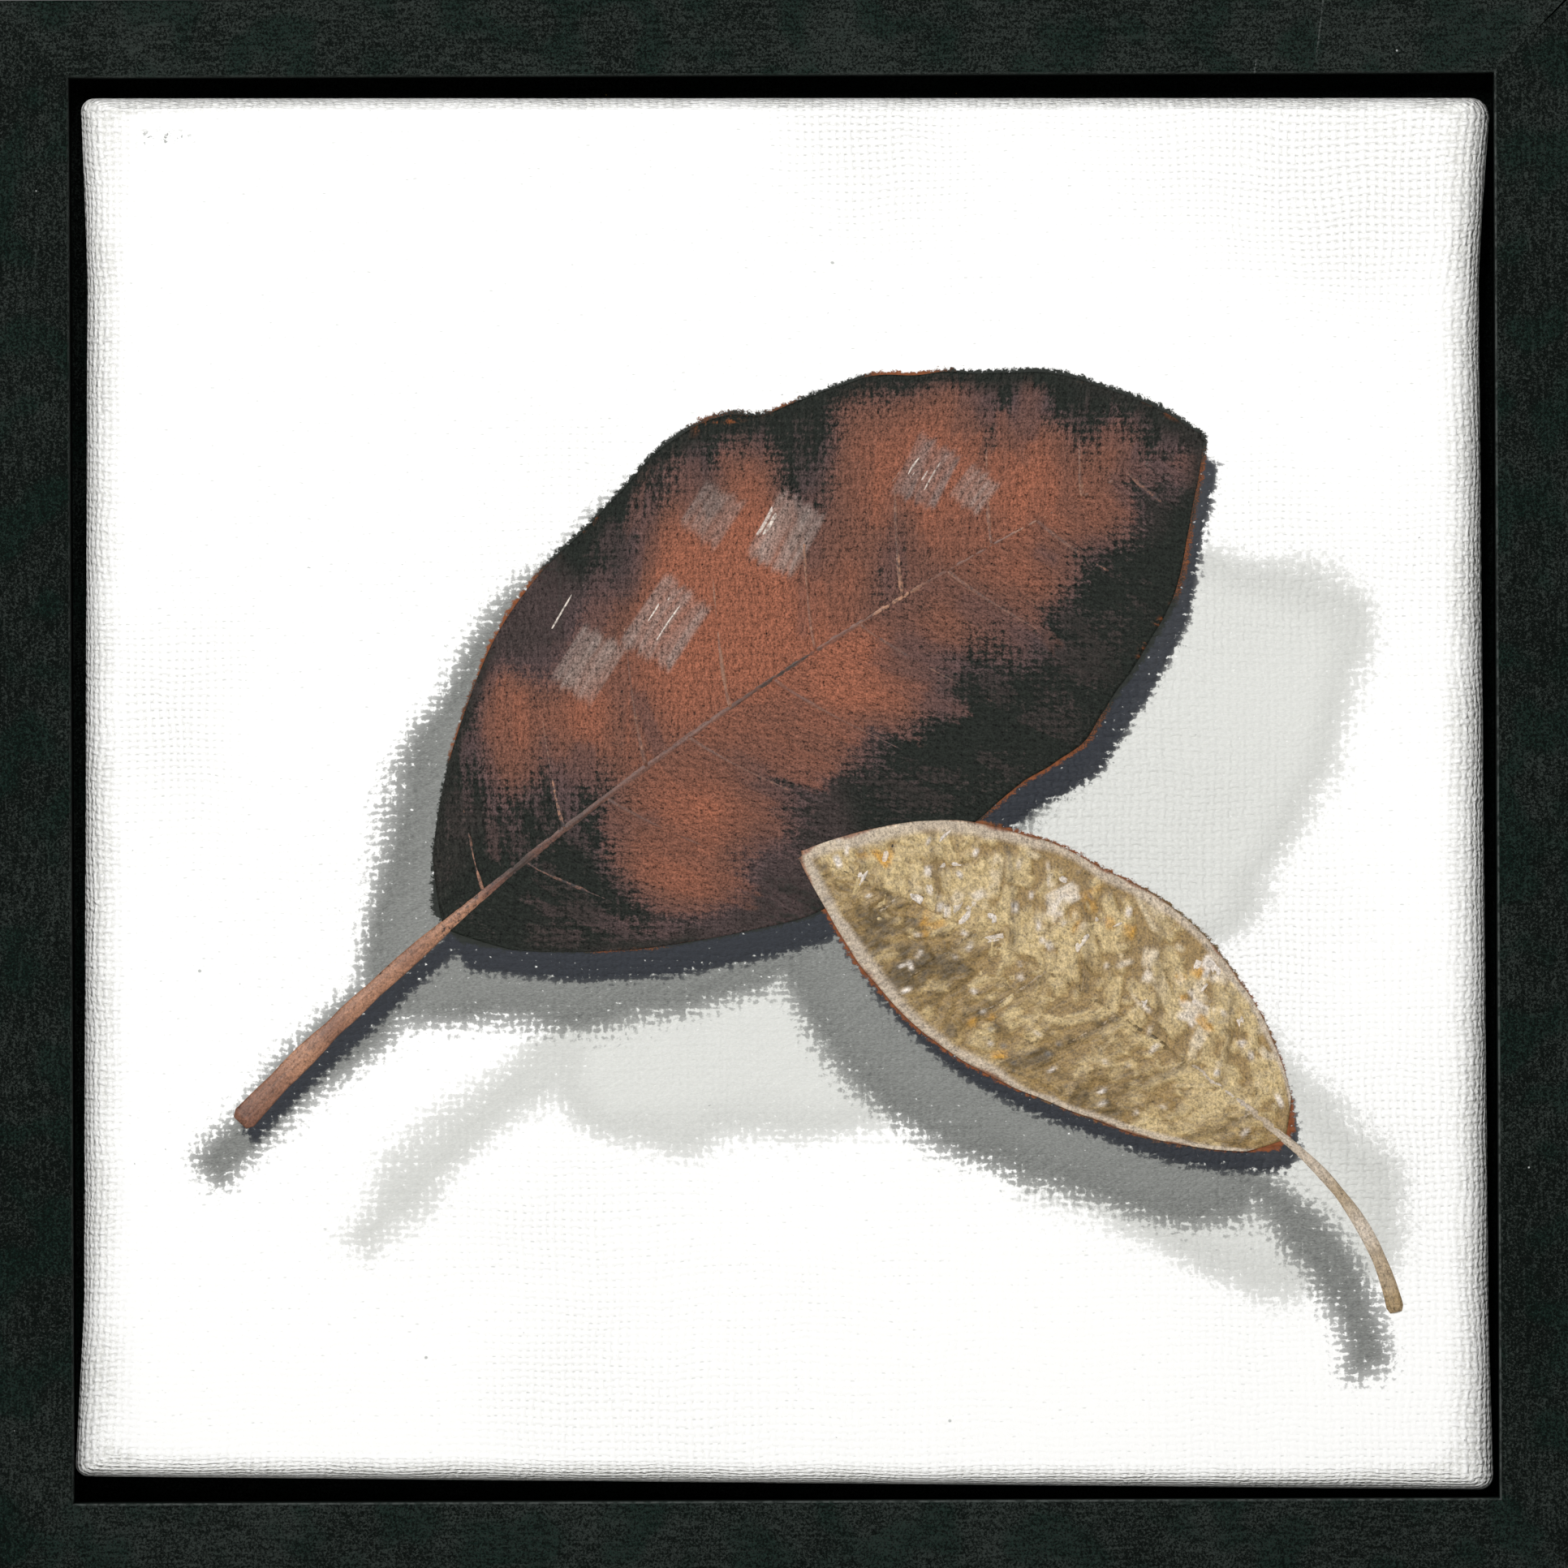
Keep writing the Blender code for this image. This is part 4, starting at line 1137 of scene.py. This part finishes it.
def painted_large_leaf(picture):
    """The large leaf: thin paint blended while wet, dark at the edges, with square lights over it."""
    chance = np.random.default_rng(picture.seed)
    scale = [picture.dark, picture.mauve, picture.brown, picture.russet, picture.russet]
    glows = (  # place on the blade, reach in millimetres and strength
        ((0.16, 0.50), 7, 0.55),
        ((0.38, 0.50), 9, 0.85),
        ((0.62, 0.60), 8, 0.75),
        ((0.80, 0.25), 6, 0.6),
        ((0.24, -0.30), 7, 0.55),
        ((0.50, -0.22), 6, 0.6),
        ((0.68, -0.40), 5, 0.35),
    )
    s, t = np.meshgrid(np.linspace(0.015, 0.992, 300), np.linspace(-1, 1, 151), indexing="ij")
    half = LARGE.half(s)
    t = t * (1 - 0.45 / np.maximum(half, 1.2))
    places = LARGE.place(s, t)

    def light(s, t, u, v):
        """How light the leaf is, from 0 to 1."""
        between = np.cos((LARGE.between_veins(s, t) - 0.35) * 2 * math.pi)
        between = between * soft_step(np.abs(t), 0.02, 0.3)
        lit = 0.08 + 0.07 * between - 0.2 * np.abs(t) ** 4 + 0.85 * (rough_noise(u, v, 15, 21) - 0.5)
        for spot, reach, strong in glows:
            at = LARGE.place(*spot)
            lit = lit + strong * np.exp(-((u - at[0]) ** 2 + (v - at[1]) ** 2) / (2 * reach**2))
        return lit

    u, v = places[..., 0], places[..., 1]
    lit = light(s, t, u, v)
    under = blended(picture.dark, picture.mauve, soft_step(rough_noise(u, v, 16, 23), 0.45, 0.8) * 0.8)
    paint = Paint(places, toned(np.clip(lit, 0.15, 1), scale), soft_step(lit, 0.0, 0.75))
    strokes = 330
    for _ in range(strokes):
        at_s, at_t = chance.uniform(0.02, 0.97), chance.uniform(-0.95, 0.95)
        place = LARGE.place(at_s, at_t)
        angle = LARGE.vein_angle(at_s, at_t) + chance.normal(0, 0.22)
        room = LARGE.half(at_s) / LARGE.half_width
        here = light(at_s, at_t, *place) + chance.normal(0, 0.1)
        tint = toned(np.clip(here, 0, 1), scale)
        length = chance.uniform(5, 13) * (0.35 + 0.65 * room)
        width = chance.uniform(1.6, 4.2) * (0.5 + 0.5 * room)
        paint.stroke(place, angle, length, width, tint, chance.uniform(0.15, 0.5), 0.03, chance)
    lights = (  # place on the blade, length, width and strength
        (0.24, 0.50, 7.5, 5.6, 0.42),
        (0.34, 0.42, 9.0, 6.6, 0.52),
        (0.40, 0.68, 6.5, 5.2, 0.36),
        (0.49, 0.48, 8.5, 6.0, 0.5),
        (0.66, 0.50, 7.5, 5.4, 0.62),
        (0.72, 0.34, 5.0, 4.2, 0.42),
    )
    for at_s, at_t, length, width, strong in lights:
        tint = blended(picture.pale, picture.mauve, np.array(chance.uniform(0.6, 0.85)))
        angle = LIGHT_SLOPE + chance.normal(0, 0.07)
        paint.stroke(LARGE.place(at_s, at_t), angle, length, width, tint, strong, 0.06, chance)
    from_edge = (1 - np.abs(t)) * half + (rough_noise(u, v, 6, 31) - 0.5) * 3.0
    dark_edge = soft_step(from_edge, 3.2, 0.6)
    paint.colour = blended(paint.colour, picture.dark, dark_edge * 0.9)
    rim = soft_step(from_edge, 0.9, 0.4) * soft_step(rough_noise(u, v, 13, 33), 0.5, 0.62)
    paint.colour = blended(paint.colour, picture.rim, rim * 0.8)
    return film_mesh("large_leaf_paint", paint, under, LARGE.flow(s, t), raised=0.05), paint


def painted_small_leaf(picture):
    """The small leaf: thick opaque paint in short dabs that keep the bristles' ridges, and a smooth rim."""
    chance = np.random.default_rng(picture.seed + 1)
    scale = [picture.umber, picture.shaded, picture.cream, picture.cream, picture.pale]
    s, t = np.meshgrid(np.linspace(0.02, 0.985, 240), np.linspace(-1, 1, 131), indexing="ij")
    half = SMALL.half(s)
    t = t * (1 - 0.3 / np.maximum(half, 1))
    places = SMALL.place(s, t)
    u, v = places[..., 0], places[..., 1]
    paint = Paint(places, picture.shaded, 0.95)

    def tone(s, t, u, v):
        """How light the leaf is, from 0 to 1."""
        between = np.cos((SMALL.between_veins(s, t) - 0.3) * 2 * math.pi)
        light = 0.5 - 0.2 * np.tanh(t * 4) + 0.08 * between
        return light + 0.7 * (rough_noise(u, v, 11, 41) - 0.5)

    def lay(count, lengths, widths, strong, thick, pigment=None, patch=0.0, turn=0.2):
        """Lays strokes in the leaf's own tones or one colour, in patches where patch is over 0."""
        for _ in range(count):
            at_s, at_t = chance.uniform(0.04, 0.95), chance.uniform(-0.9, 0.9)
            place = SMALL.place(at_s, at_t)
            if rough_noise(*place, 9, 45) < patch:
                continue
            angle = SMALL.vein_angle(at_s, at_t) + chance.normal(0, turn)
            tint = pigment
            if tint is None:
                tint = toned(np.clip(tone(at_s, at_t, *place) + chance.normal(0, 0.13), 0, 1), scale)
            length, width = chance.uniform(*lengths), chance.uniform(*widths)
            level = thick * chance.uniform(0.5, 1.3)
            paint.stroke(place, angle, length, width, tint, strong, level, chance)

    lay(260, (2.5, 6.0), (1.2, 2.6), 1.0, 0.16, turn=0.7)
    lay(90, (1.4, 3.2), (0.9, 1.7), 0.8, 0.12, picture.ochre, patch=0.55, turn=0.5)
    lay(420, (1.0, 2.4), (0.7, 1.6), 0.95, 0.2, turn=1.2)
    lay(190, (0.7, 1.6), (0.5, 1.0), 0.6, 0.1, picture.slate, patch=0.6, turn=1.0)
    lay(60, (0.8, 2.2), (0.6, 1.1), 1.1, 0.24, picture.pale, patch=0.35, turn=0.5)
    beside_vein = np.exp(-(((SMALL.between_veins(s, t) - 0.86) / 0.055) ** 2)) * (np.abs(t) < 0.85)
    paint.colour = blended(paint.colour, picture.umber, beside_vein * 0.45)
    from_edge = (1 - np.abs(t)) * half + (rough_noise(u, v, 5, 42) - 0.5) * 1.2
    rim = soft_step(from_edge, 1.7, 1.0)
    paint.colour = blended(paint.colour, blended(picture.shaded, picture.pale, np.array(0.55)), rim * 0.8)
    paint.thick = paint.thick * (1 - rim) + rim * (0.14 + 0.1 * soft_step(from_edge, 0, 0.6))
    edge = from_edge + (rough_noise(u, v, 2.2, 43) - 0.5) * 0.8
    paint.colour = blended(paint.colour, picture.rim, soft_step(edge, 0.5, 0.15) * 0.8)
    under = np.broadcast_to(picture.umber, paint.colour.shape)
    return film_mesh("small_leaf_paint", paint, under, SMALL.flow(s, t), raised=0.08), paint


class Ridges:
    """Raised strokes of paint, each a closed strip whose arched top may dip under what it crosses."""

    def __init__(self):
        self.points, self.faces, self.count = [], [], 0
        self.fields = {"Paint": [], "Under": [], "Flow": [], "Cover": []}

    def add(
        self, route, widths, heights, tints, under, cover, level, columns=9, ribs=0.0, chance=None
    ):
        """route: (u, v) points; level: the paint's thickness below; ribs: how deep the bristles cut."""
        rows = len(route)
        cross = np.linspace(-1, 1, columns)
        left = across_route(route)
        u, v = [route[:, k, None] + left[:, k, None] * cross * widths[:, None] / 2 for k in (0, 1)]
        travelled = distances_along(route)
        arch = np.clip(1 - cross**2, 0, 1) ** (0.25 if ribs else 0.8)
        top = heights[:, None] * arch
        if ribs:
            start = chance.random(2) * 60
            across = cross * widths[:, None] / 2 + start[0]
            bristle = noise(across, travelled[:, None] * 0.06 + start[1], 0.34, 9)
            ends = np.minimum(travelled, travelled[-1] - travelled)[:, None]
            ragged = soft_step(ends, 0, 0.6 + 1.8 * noise(cross * widths[:, None] + start[1], 0, 0.5, 13))
            top = (top + ribs * (bristle - 0.62)) * ragged - 0.06 * (1 - ragged)
        depth = front_level(u, v) - level[:, None] - top
        index = self.count + np.arange(rows * (columns + 2)).reshape(rows, columns + 2)
        u, v, depth = [np.concatenate([grid, grid[:, [-1, 0]]], 1) for grid in (u, v, depth)]
        depth[:, -2:] = SUNK
        following = np.roll(index, -1, 1)
        quads = np.stack([index[:-1], following[:-1], following[1:], index[1:]], -1)
        self.faces += quads.reshape(-1, 4).tolist() + [index[0].tolist(), index[-1].tolist()]
        self.points.append(on_picture(u, depth, v))
        over = (np.append(cross, (1, -1)) * widths[:, None] / 2).ravel()
        flow = np.stack([np.repeat(travelled, columns + 2), over, np.full(len(over), len(self.points))], 1)
        colours = [np.repeat(np.broadcast_to(tint, (rows, 3)), columns + 2, 0) for tint in (tints, under)]
        values = (*colours, flow, np.repeat(np.broadcast_to(cover, rows), columns + 2))
        for field, value in zip(self.fields.values(), values):
            field.append(value)
        self.count += index.size

    def mesh(self, name):
        mesh = mesh_from(name, np.concatenate(self.points), self.faces)
        kinds = {"Cover": "FLOAT", "Flow": "FLOAT_VECTOR"}
        for field, values in self.fields.items():
            carry(mesh, field, kinds.get(field, "FLOAT_COLOR"), np.concatenate(values))
        return mesh


def leaf_ridges(picture, large, small):
    """The leaves' stalks, midribs and side veins: thin lines of paint that break off and go on."""
    ridges = Ridges()
    chance = np.random.default_rng(picture.seed + 2)
    # Widths along the stalk and midrib, widths along a vein, heights of the stalk and a vein, and colours
    plans = (
        (LARGE, large, (2.5, 1.9, 1.1, 0.35), (0.62, 0.15), (0.2, 0.08), picture.brown, picture.glow),
        (SMALL, small, (1.7, 1.2, 0.8, 0.3), (0.45, 0.15), (0.2, 0.1), picture.shaded, picture.pale),
    )
    for leaf, paint, spread, vein, heights, low, high in plans:
        stalk = leaf.stalk_route()[:4:-1]
        route = np.concatenate([stalk, leaf.midrib(np.linspace(0.012, 0.97, 120))])
        far = distances_along(route)
        base = far[len(stalk)]
        uneven = 0.8 + 0.4 * rough_noise(far, 0, 4, 51)
        widths = np.interp(far, (0, base * 0.8, base * 1.2, far[-1]), spread) * uneven
        widths[0] *= 0.7
        tall = np.interp(far, (0, base, base * 1.3, far[-1]), (heights[0], heights[0], 0.09, 0.04)) * uneven
        tone = rough_noise(far, 3, 9, 52)
        tints = blended(picture.dark, low, soft_step(tone, 0.2, 0.5))
        tints = blended(tints, high, soft_step(tone, 0.45, 0.9) * 0.8)
        cover = np.where(far < base, 0.9, 0.35 + 0.6 * rough_noise(far, 9, 8, 57))
        level = np.where(far < base, 0.02, paint.level_at(route))
        under = paint.colour_at(route) * 0.8
        ridges.add(route, widths, tall, tints, under, cover, level, columns=13)
        for k in range(2 * leaf.veins):
            side = 1 if k % 2 else -1
            at = (k // 2 + 0.9 - 0.25 * side) / leaf.veins
            if at > 0.95:
                continue
            t = np.linspace(0.0, chance.uniform(0.55, 0.88), 46)
            route = leaf.place(np.full(46, at) - 0.012 * t, t * side)
            uneven = 0.5 + rough_noise(t * leaf.half(at), k, 2.5, 53)
            widths = np.interp(t, (0, 1), vein) * uneven
            tall = np.interp(t, (0, 1), (heights[1], 0.02)) * uneven
            tints = blended(low, high, rough_noise(t * 12, k * 3, 3, 54) * (0.6 if side > 0 else 0.2))
            cover = 0.1 + 0.7 * rough_noise(t * leaf.half(at), k * 5, 5, 58)
            under = paint.colour_at(route) * 0.8
            ridges.add(route, widths, tall, tints, under, cover, paint.level_at(route))
    return ridges.mesh("leaf_ribs")


def pale_strokes(picture, large, small):
    """Raised strokes of pale paint: thin ones by the large leaf's lights, short ones on the small leaf."""
    ridges = Ridges()
    chance = np.random.default_rng(picture.seed + 3)

    def dab(paint, place, angle, length, width, tall, tint, cover):
        """Adds one slightly bent stroke on a leaf's paint."""
        along = np.linspace(-0.5, 0.5, max(int(length / 0.22), 8))
        way = np.array((math.cos(angle), math.sin(angle)))
        aside = np.array((-way[1], way[0]))
        bow = chance.uniform(-0.14, 0.14) * length
        route = place + along[:, None] * length * way + ((along**2) * bow)[:, None] * aside
        widths = np.full(len(along), width) * (1 - 0.15 * np.abs(along) * 2)
        level = np.full(len(along), np.median(paint.level_at(route[:: max(len(route) // 6, 1)])) + 0.02)
        tints = blended(tint, paint.colour_at(route), np.full(len(along), chance.uniform(0.0, 0.4)))
        columns = max(int(width / 0.12), 7)
        under, tall = paint.colour_at(route), np.full(len(along), tall)
        ridges.add(route, widths, tall, tints, under, cover, level, columns, ribs=0.25, chance=chance)

    way = np.array((-math.sin(LIGHT_SLOPE), math.cos(LIGHT_SLOPE)))
    groups = (((0.34, 0.42), 5), ((0.49, 0.48), 2), ((0.66, 0.50), 6), ((0.24, 0.66), 1))
    for at, count in groups:
        offset = 2.6
        for _ in range(count):
            sizes = chance.uniform(3.5, 7.5), chance.uniform(0.25, 0.5)
            place = LARGE.place(*at) + way * offset
            angle = LIGHT_SLOPE + chance.normal(0, 0.03)
            dab(large, place, angle, *sizes, 0.07, picture.pale, chance.uniform(0.5, 0.75))
            offset -= chance.uniform(0.45, 1.0)
    for _ in range(34):
        at_s, at_t = chance.uniform(0.12, 0.88), chance.uniform(-0.85, 0.5)
        angle = chance.uniform(0, math.pi)
        sizes = chance.uniform(1.3, 3.4), chance.uniform(0.5, 1.1)
        tint = picture.pale if at_t < 0 else picture.cream
        dab(small, SMALL.place(at_s, at_t), angle, *sizes, 0.13, tint, 0.85)
    return ridges.mesh("pale_strokes")


# Operators

class FRAMED_OT_rails(bpy.types.Operator):
    """Make the four painted rails of the floater frame"""

    bl_idname = "framed.rails"
    bl_label = "Painted rails"

    def execute(self, context):
        settings = context.scene.rail_settings
        looks = {axis: rail_paint(settings, axis) for axis in (0, 2)}
        for side in SIDES:
            along = 0 if side in ("top", "bottom") else 2
            piece_from(rail_mesh(side, settings), [looks[along]], ["frame_rail_" + side])
        return {"FINISHED"}


class FRAMED_OT_cloth(bpy.types.Operator):
    """Make the primed canvas, folded over its bars, with the picture's thin paint"""

    bl_idname = "framed.cloth"
    bl_label = "Primed canvas"

    def execute(self, context):
        cloth, picture = context.scene.cloth_settings, context.scene.picture_settings
        mesh, places = cloth_mesh(cloth)
        fields, shapes = thin_paint(places)
        for name, known in fields.items():
            values = np.full(len(mesh.vertices), OUTSIDE if name in shapes else 0.0)
            values[: len(known)] = known
            carry(mesh, name, "FLOAT", values)
        looks = [primed_cloth(cloth, picture), raw_cloth(cloth)]
        piece = piece_from(mesh, looks, ["canvas"])
        return {"FINISHED"}


class FRAMED_OT_leaves(bpy.types.Operator):
    """Paint the two leaves: their blades, ribs and pale strokes"""

    bl_idname = "framed.leaves"
    bl_label = "Painted leaves"

    def execute(self, context):
        cloth, picture = context.scene.cloth_settings, context.scene.picture_settings
        large_mesh, large = painted_large_leaf(picture)
        small_mesh, small = painted_small_leaf(picture)
        # How much of the weave shows sets both its relief and the painted highlight and shade on it
        films = {  # roughness, how much of the weave shows, specular level, streaks and unevenness
            "thin_leaf_paint": (0.6, 0.22, 0.08, 2.4, 2.4),
            "thick_leaf_paint": (0.5, 0.06, 0.3, 1.4, 1.7),
            "ridge_paint": (0.45, 0.05, 0.25, 2.0, 1.5),
        }
        thin, dabbed, raised = [paint_film(cloth, name, *values) for name, values in films.items()]
        piece_from(large_mesh, [thin])
        piece_from(small_mesh, [dabbed])
        piece_from(leaf_ridges(picture, large, small), [raised])
        piece_from(pale_strokes(picture, large, small), [raised])
        return {"FINISHED"}


class FRAMED_OT_bars(bpy.types.Operator):
    """Give the stretcher bars their wood"""

    bl_idname = "framed.bars"
    bl_label = "Stretcher bars"

    def execute(self, context):
        looks = {axis: pine(context.scene.back_settings, axis) for axis in (0, 2)}
        for side in SIDES:
            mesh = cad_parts["stretcher_bar_" + side].data
            mesh.materials.clear()
            mesh.materials.append(looks[0 if side in ("top", "bottom") else 2])
        return {"FINISHED"}


class FRAMED_OT_fixings(bpy.types.Operator):
    """Make the staples, V-nails, screws, hanger and bumpers"""

    bl_idname = "framed.fixings"
    bl_label = "Fixings"

    def execute(self, context):
        settings = context.scene.back_settings
        steel = metal("bright_steel", settings.steel, 0.3, 0.15)
        black = metal("black_steel", settings.black_steel, 0.38, 0.1)
        brass = metal("brassed_steel", settings.brass, 0.26, 0.2)
        felt = pressed_felt(settings)
        touch = 0.3 * MM  # how deep the CAD sets a fixing into what it holds
        head_depth = 3 * MM
        kinds = (  # start of the names, finish, slot and how far the head moves back
            ("staple_", steel, "steel", -touch),
            ("corner_nail_", steel, "steel", 1.2 * touch),
            ("canvas_screw_", black, "dark_steel", 1.2 * touch),
            ("hanger_plate", brass, "brassed_steel", -touch),
            ("hanger_nail_", brass, "brassed_steel", -2 * touch),
            ("bumper_", felt, "felt", 0),
        )
        for node in sorted(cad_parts):
            for start, look, slot, moved in kinds:
                if node.startswith(start):
                    mesh = softened(node, "finished_" + node, settings.softening)
                    head = max(vertex.co.y for vertex in mesh.vertices) - head_depth
                    for vertex in mesh.vertices:
                        if vertex.co.y > head:
                            vertex.co.y += moved
                    piece_from(mesh, [look], [node])
        return {"FINISHED"}


class FRAMED_OT_stage(bpy.types.Operator):
    """Set up the camera, the lights and the floor"""

    bl_idname = "framed.stage"
    bl_label = "Camera, lights and floor"

    def execute(self, context):
        settings, scene = context.scene.stage_settings, context.scene
        scene.view_settings.view_transform = "Standard"
        camera = bpy.data.objects.new("camera", bpy.data.cameras.new("camera"))
        camera.data.sensor_width = 36
        camera.data.lens = camera.data.sensor_width * settings.distance / settings.width
        camera.location = (0, FRONT_Y - settings.distance, CENTRE_Z + settings.rise)
        camera.rotation_euler = (math.radians(90), settings.roll, 0)
        scene.collection.objects.link(camera)
        scene.camera = camera

        middle = Vector((0, 0, CENTRE_Z))
        lamps = (  # name, place, power and size
            ("key", Vector((-0.22, -1.3, CENTRE_Z + 0.42)), settings.key, 0.5),
            ("back_light", Vector((0.5, 1.2, CENTRE_Z + 0.7)), settings.back, 1.0),
        )
        for name, place, power, side in lamps:
            light = bpy.data.lights.new(name, "AREA")
            light.size = side
            light.energy = power
            lamp = bpy.data.objects.new(name, light)
            lamp.location = place
            lamp.rotation_euler = (place - middle).to_track_quat("Z", "Y").to_euler()
            scene.collection.objects.link(lamp)

        world = bpy.data.worlds.new("studio")
        world.use_nodes = True
        background = world.node_tree.nodes["Background"]
        background.inputs["Color"].default_value = (1, 1, 1, 1)
        background.inputs["Strength"].default_value = settings.fill
        scene.world = world

        bpy.ops.mesh.primitive_plane_add(size=4, location=(0, 0, BOTTOM_Z))
        floor = context.object
        floor.name = "floor"
        floor.data.materials.append(floor_finish(settings.floor))
        return {"FINISHED"}


class VIEW3D_PT_framed_canvas(bpy.types.Panel):
    """Lists the steps that dress the framed canvas"""

    bl_label = "Framed Canvas"
    bl_space_type = "VIEW_3D"
    bl_region_type = "UI"
    bl_category = "Framed Canvas"

    def draw(self, context):
        for operator in OPERATORS:
            self.layout.operator(operator.bl_idname)


SETTINGS = {
    "rail_settings": RailSettings,
    "cloth_settings": ClothSettings,
    "picture_settings": PictureSettings,
    "back_settings": BackSettings,
    "stage_settings": StageSettings,
}
OPERATORS = (
    FRAMED_OT_rails,
    FRAMED_OT_cloth,
    FRAMED_OT_leaves,
    FRAMED_OT_bars,
    FRAMED_OT_fixings,
    FRAMED_OT_stage,
)


def register():
    for kind in (*SETTINGS.values(), *OPERATORS, VIEW3D_PT_framed_canvas):
        bpy.utils.register_class(kind)
    for name, kind in SETTINGS.items():
        setattr(bpy.types.Scene, name, PointerProperty(type=kind))


def unregister():
    for name in SETTINGS:
        delattr(bpy.types.Scene, name)
    for kind in reversed((*SETTINGS.values(), *OPERATORS, VIEW3D_PT_framed_canvas)):
        bpy.utils.unregister_class(kind)


def main():
    register()
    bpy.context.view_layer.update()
    for operator in OPERATORS:
        section, name = operator.bl_idname.split(".")
        getattr(getattr(bpy.ops, section), name)()


if __name__ == "__main__":
    main()
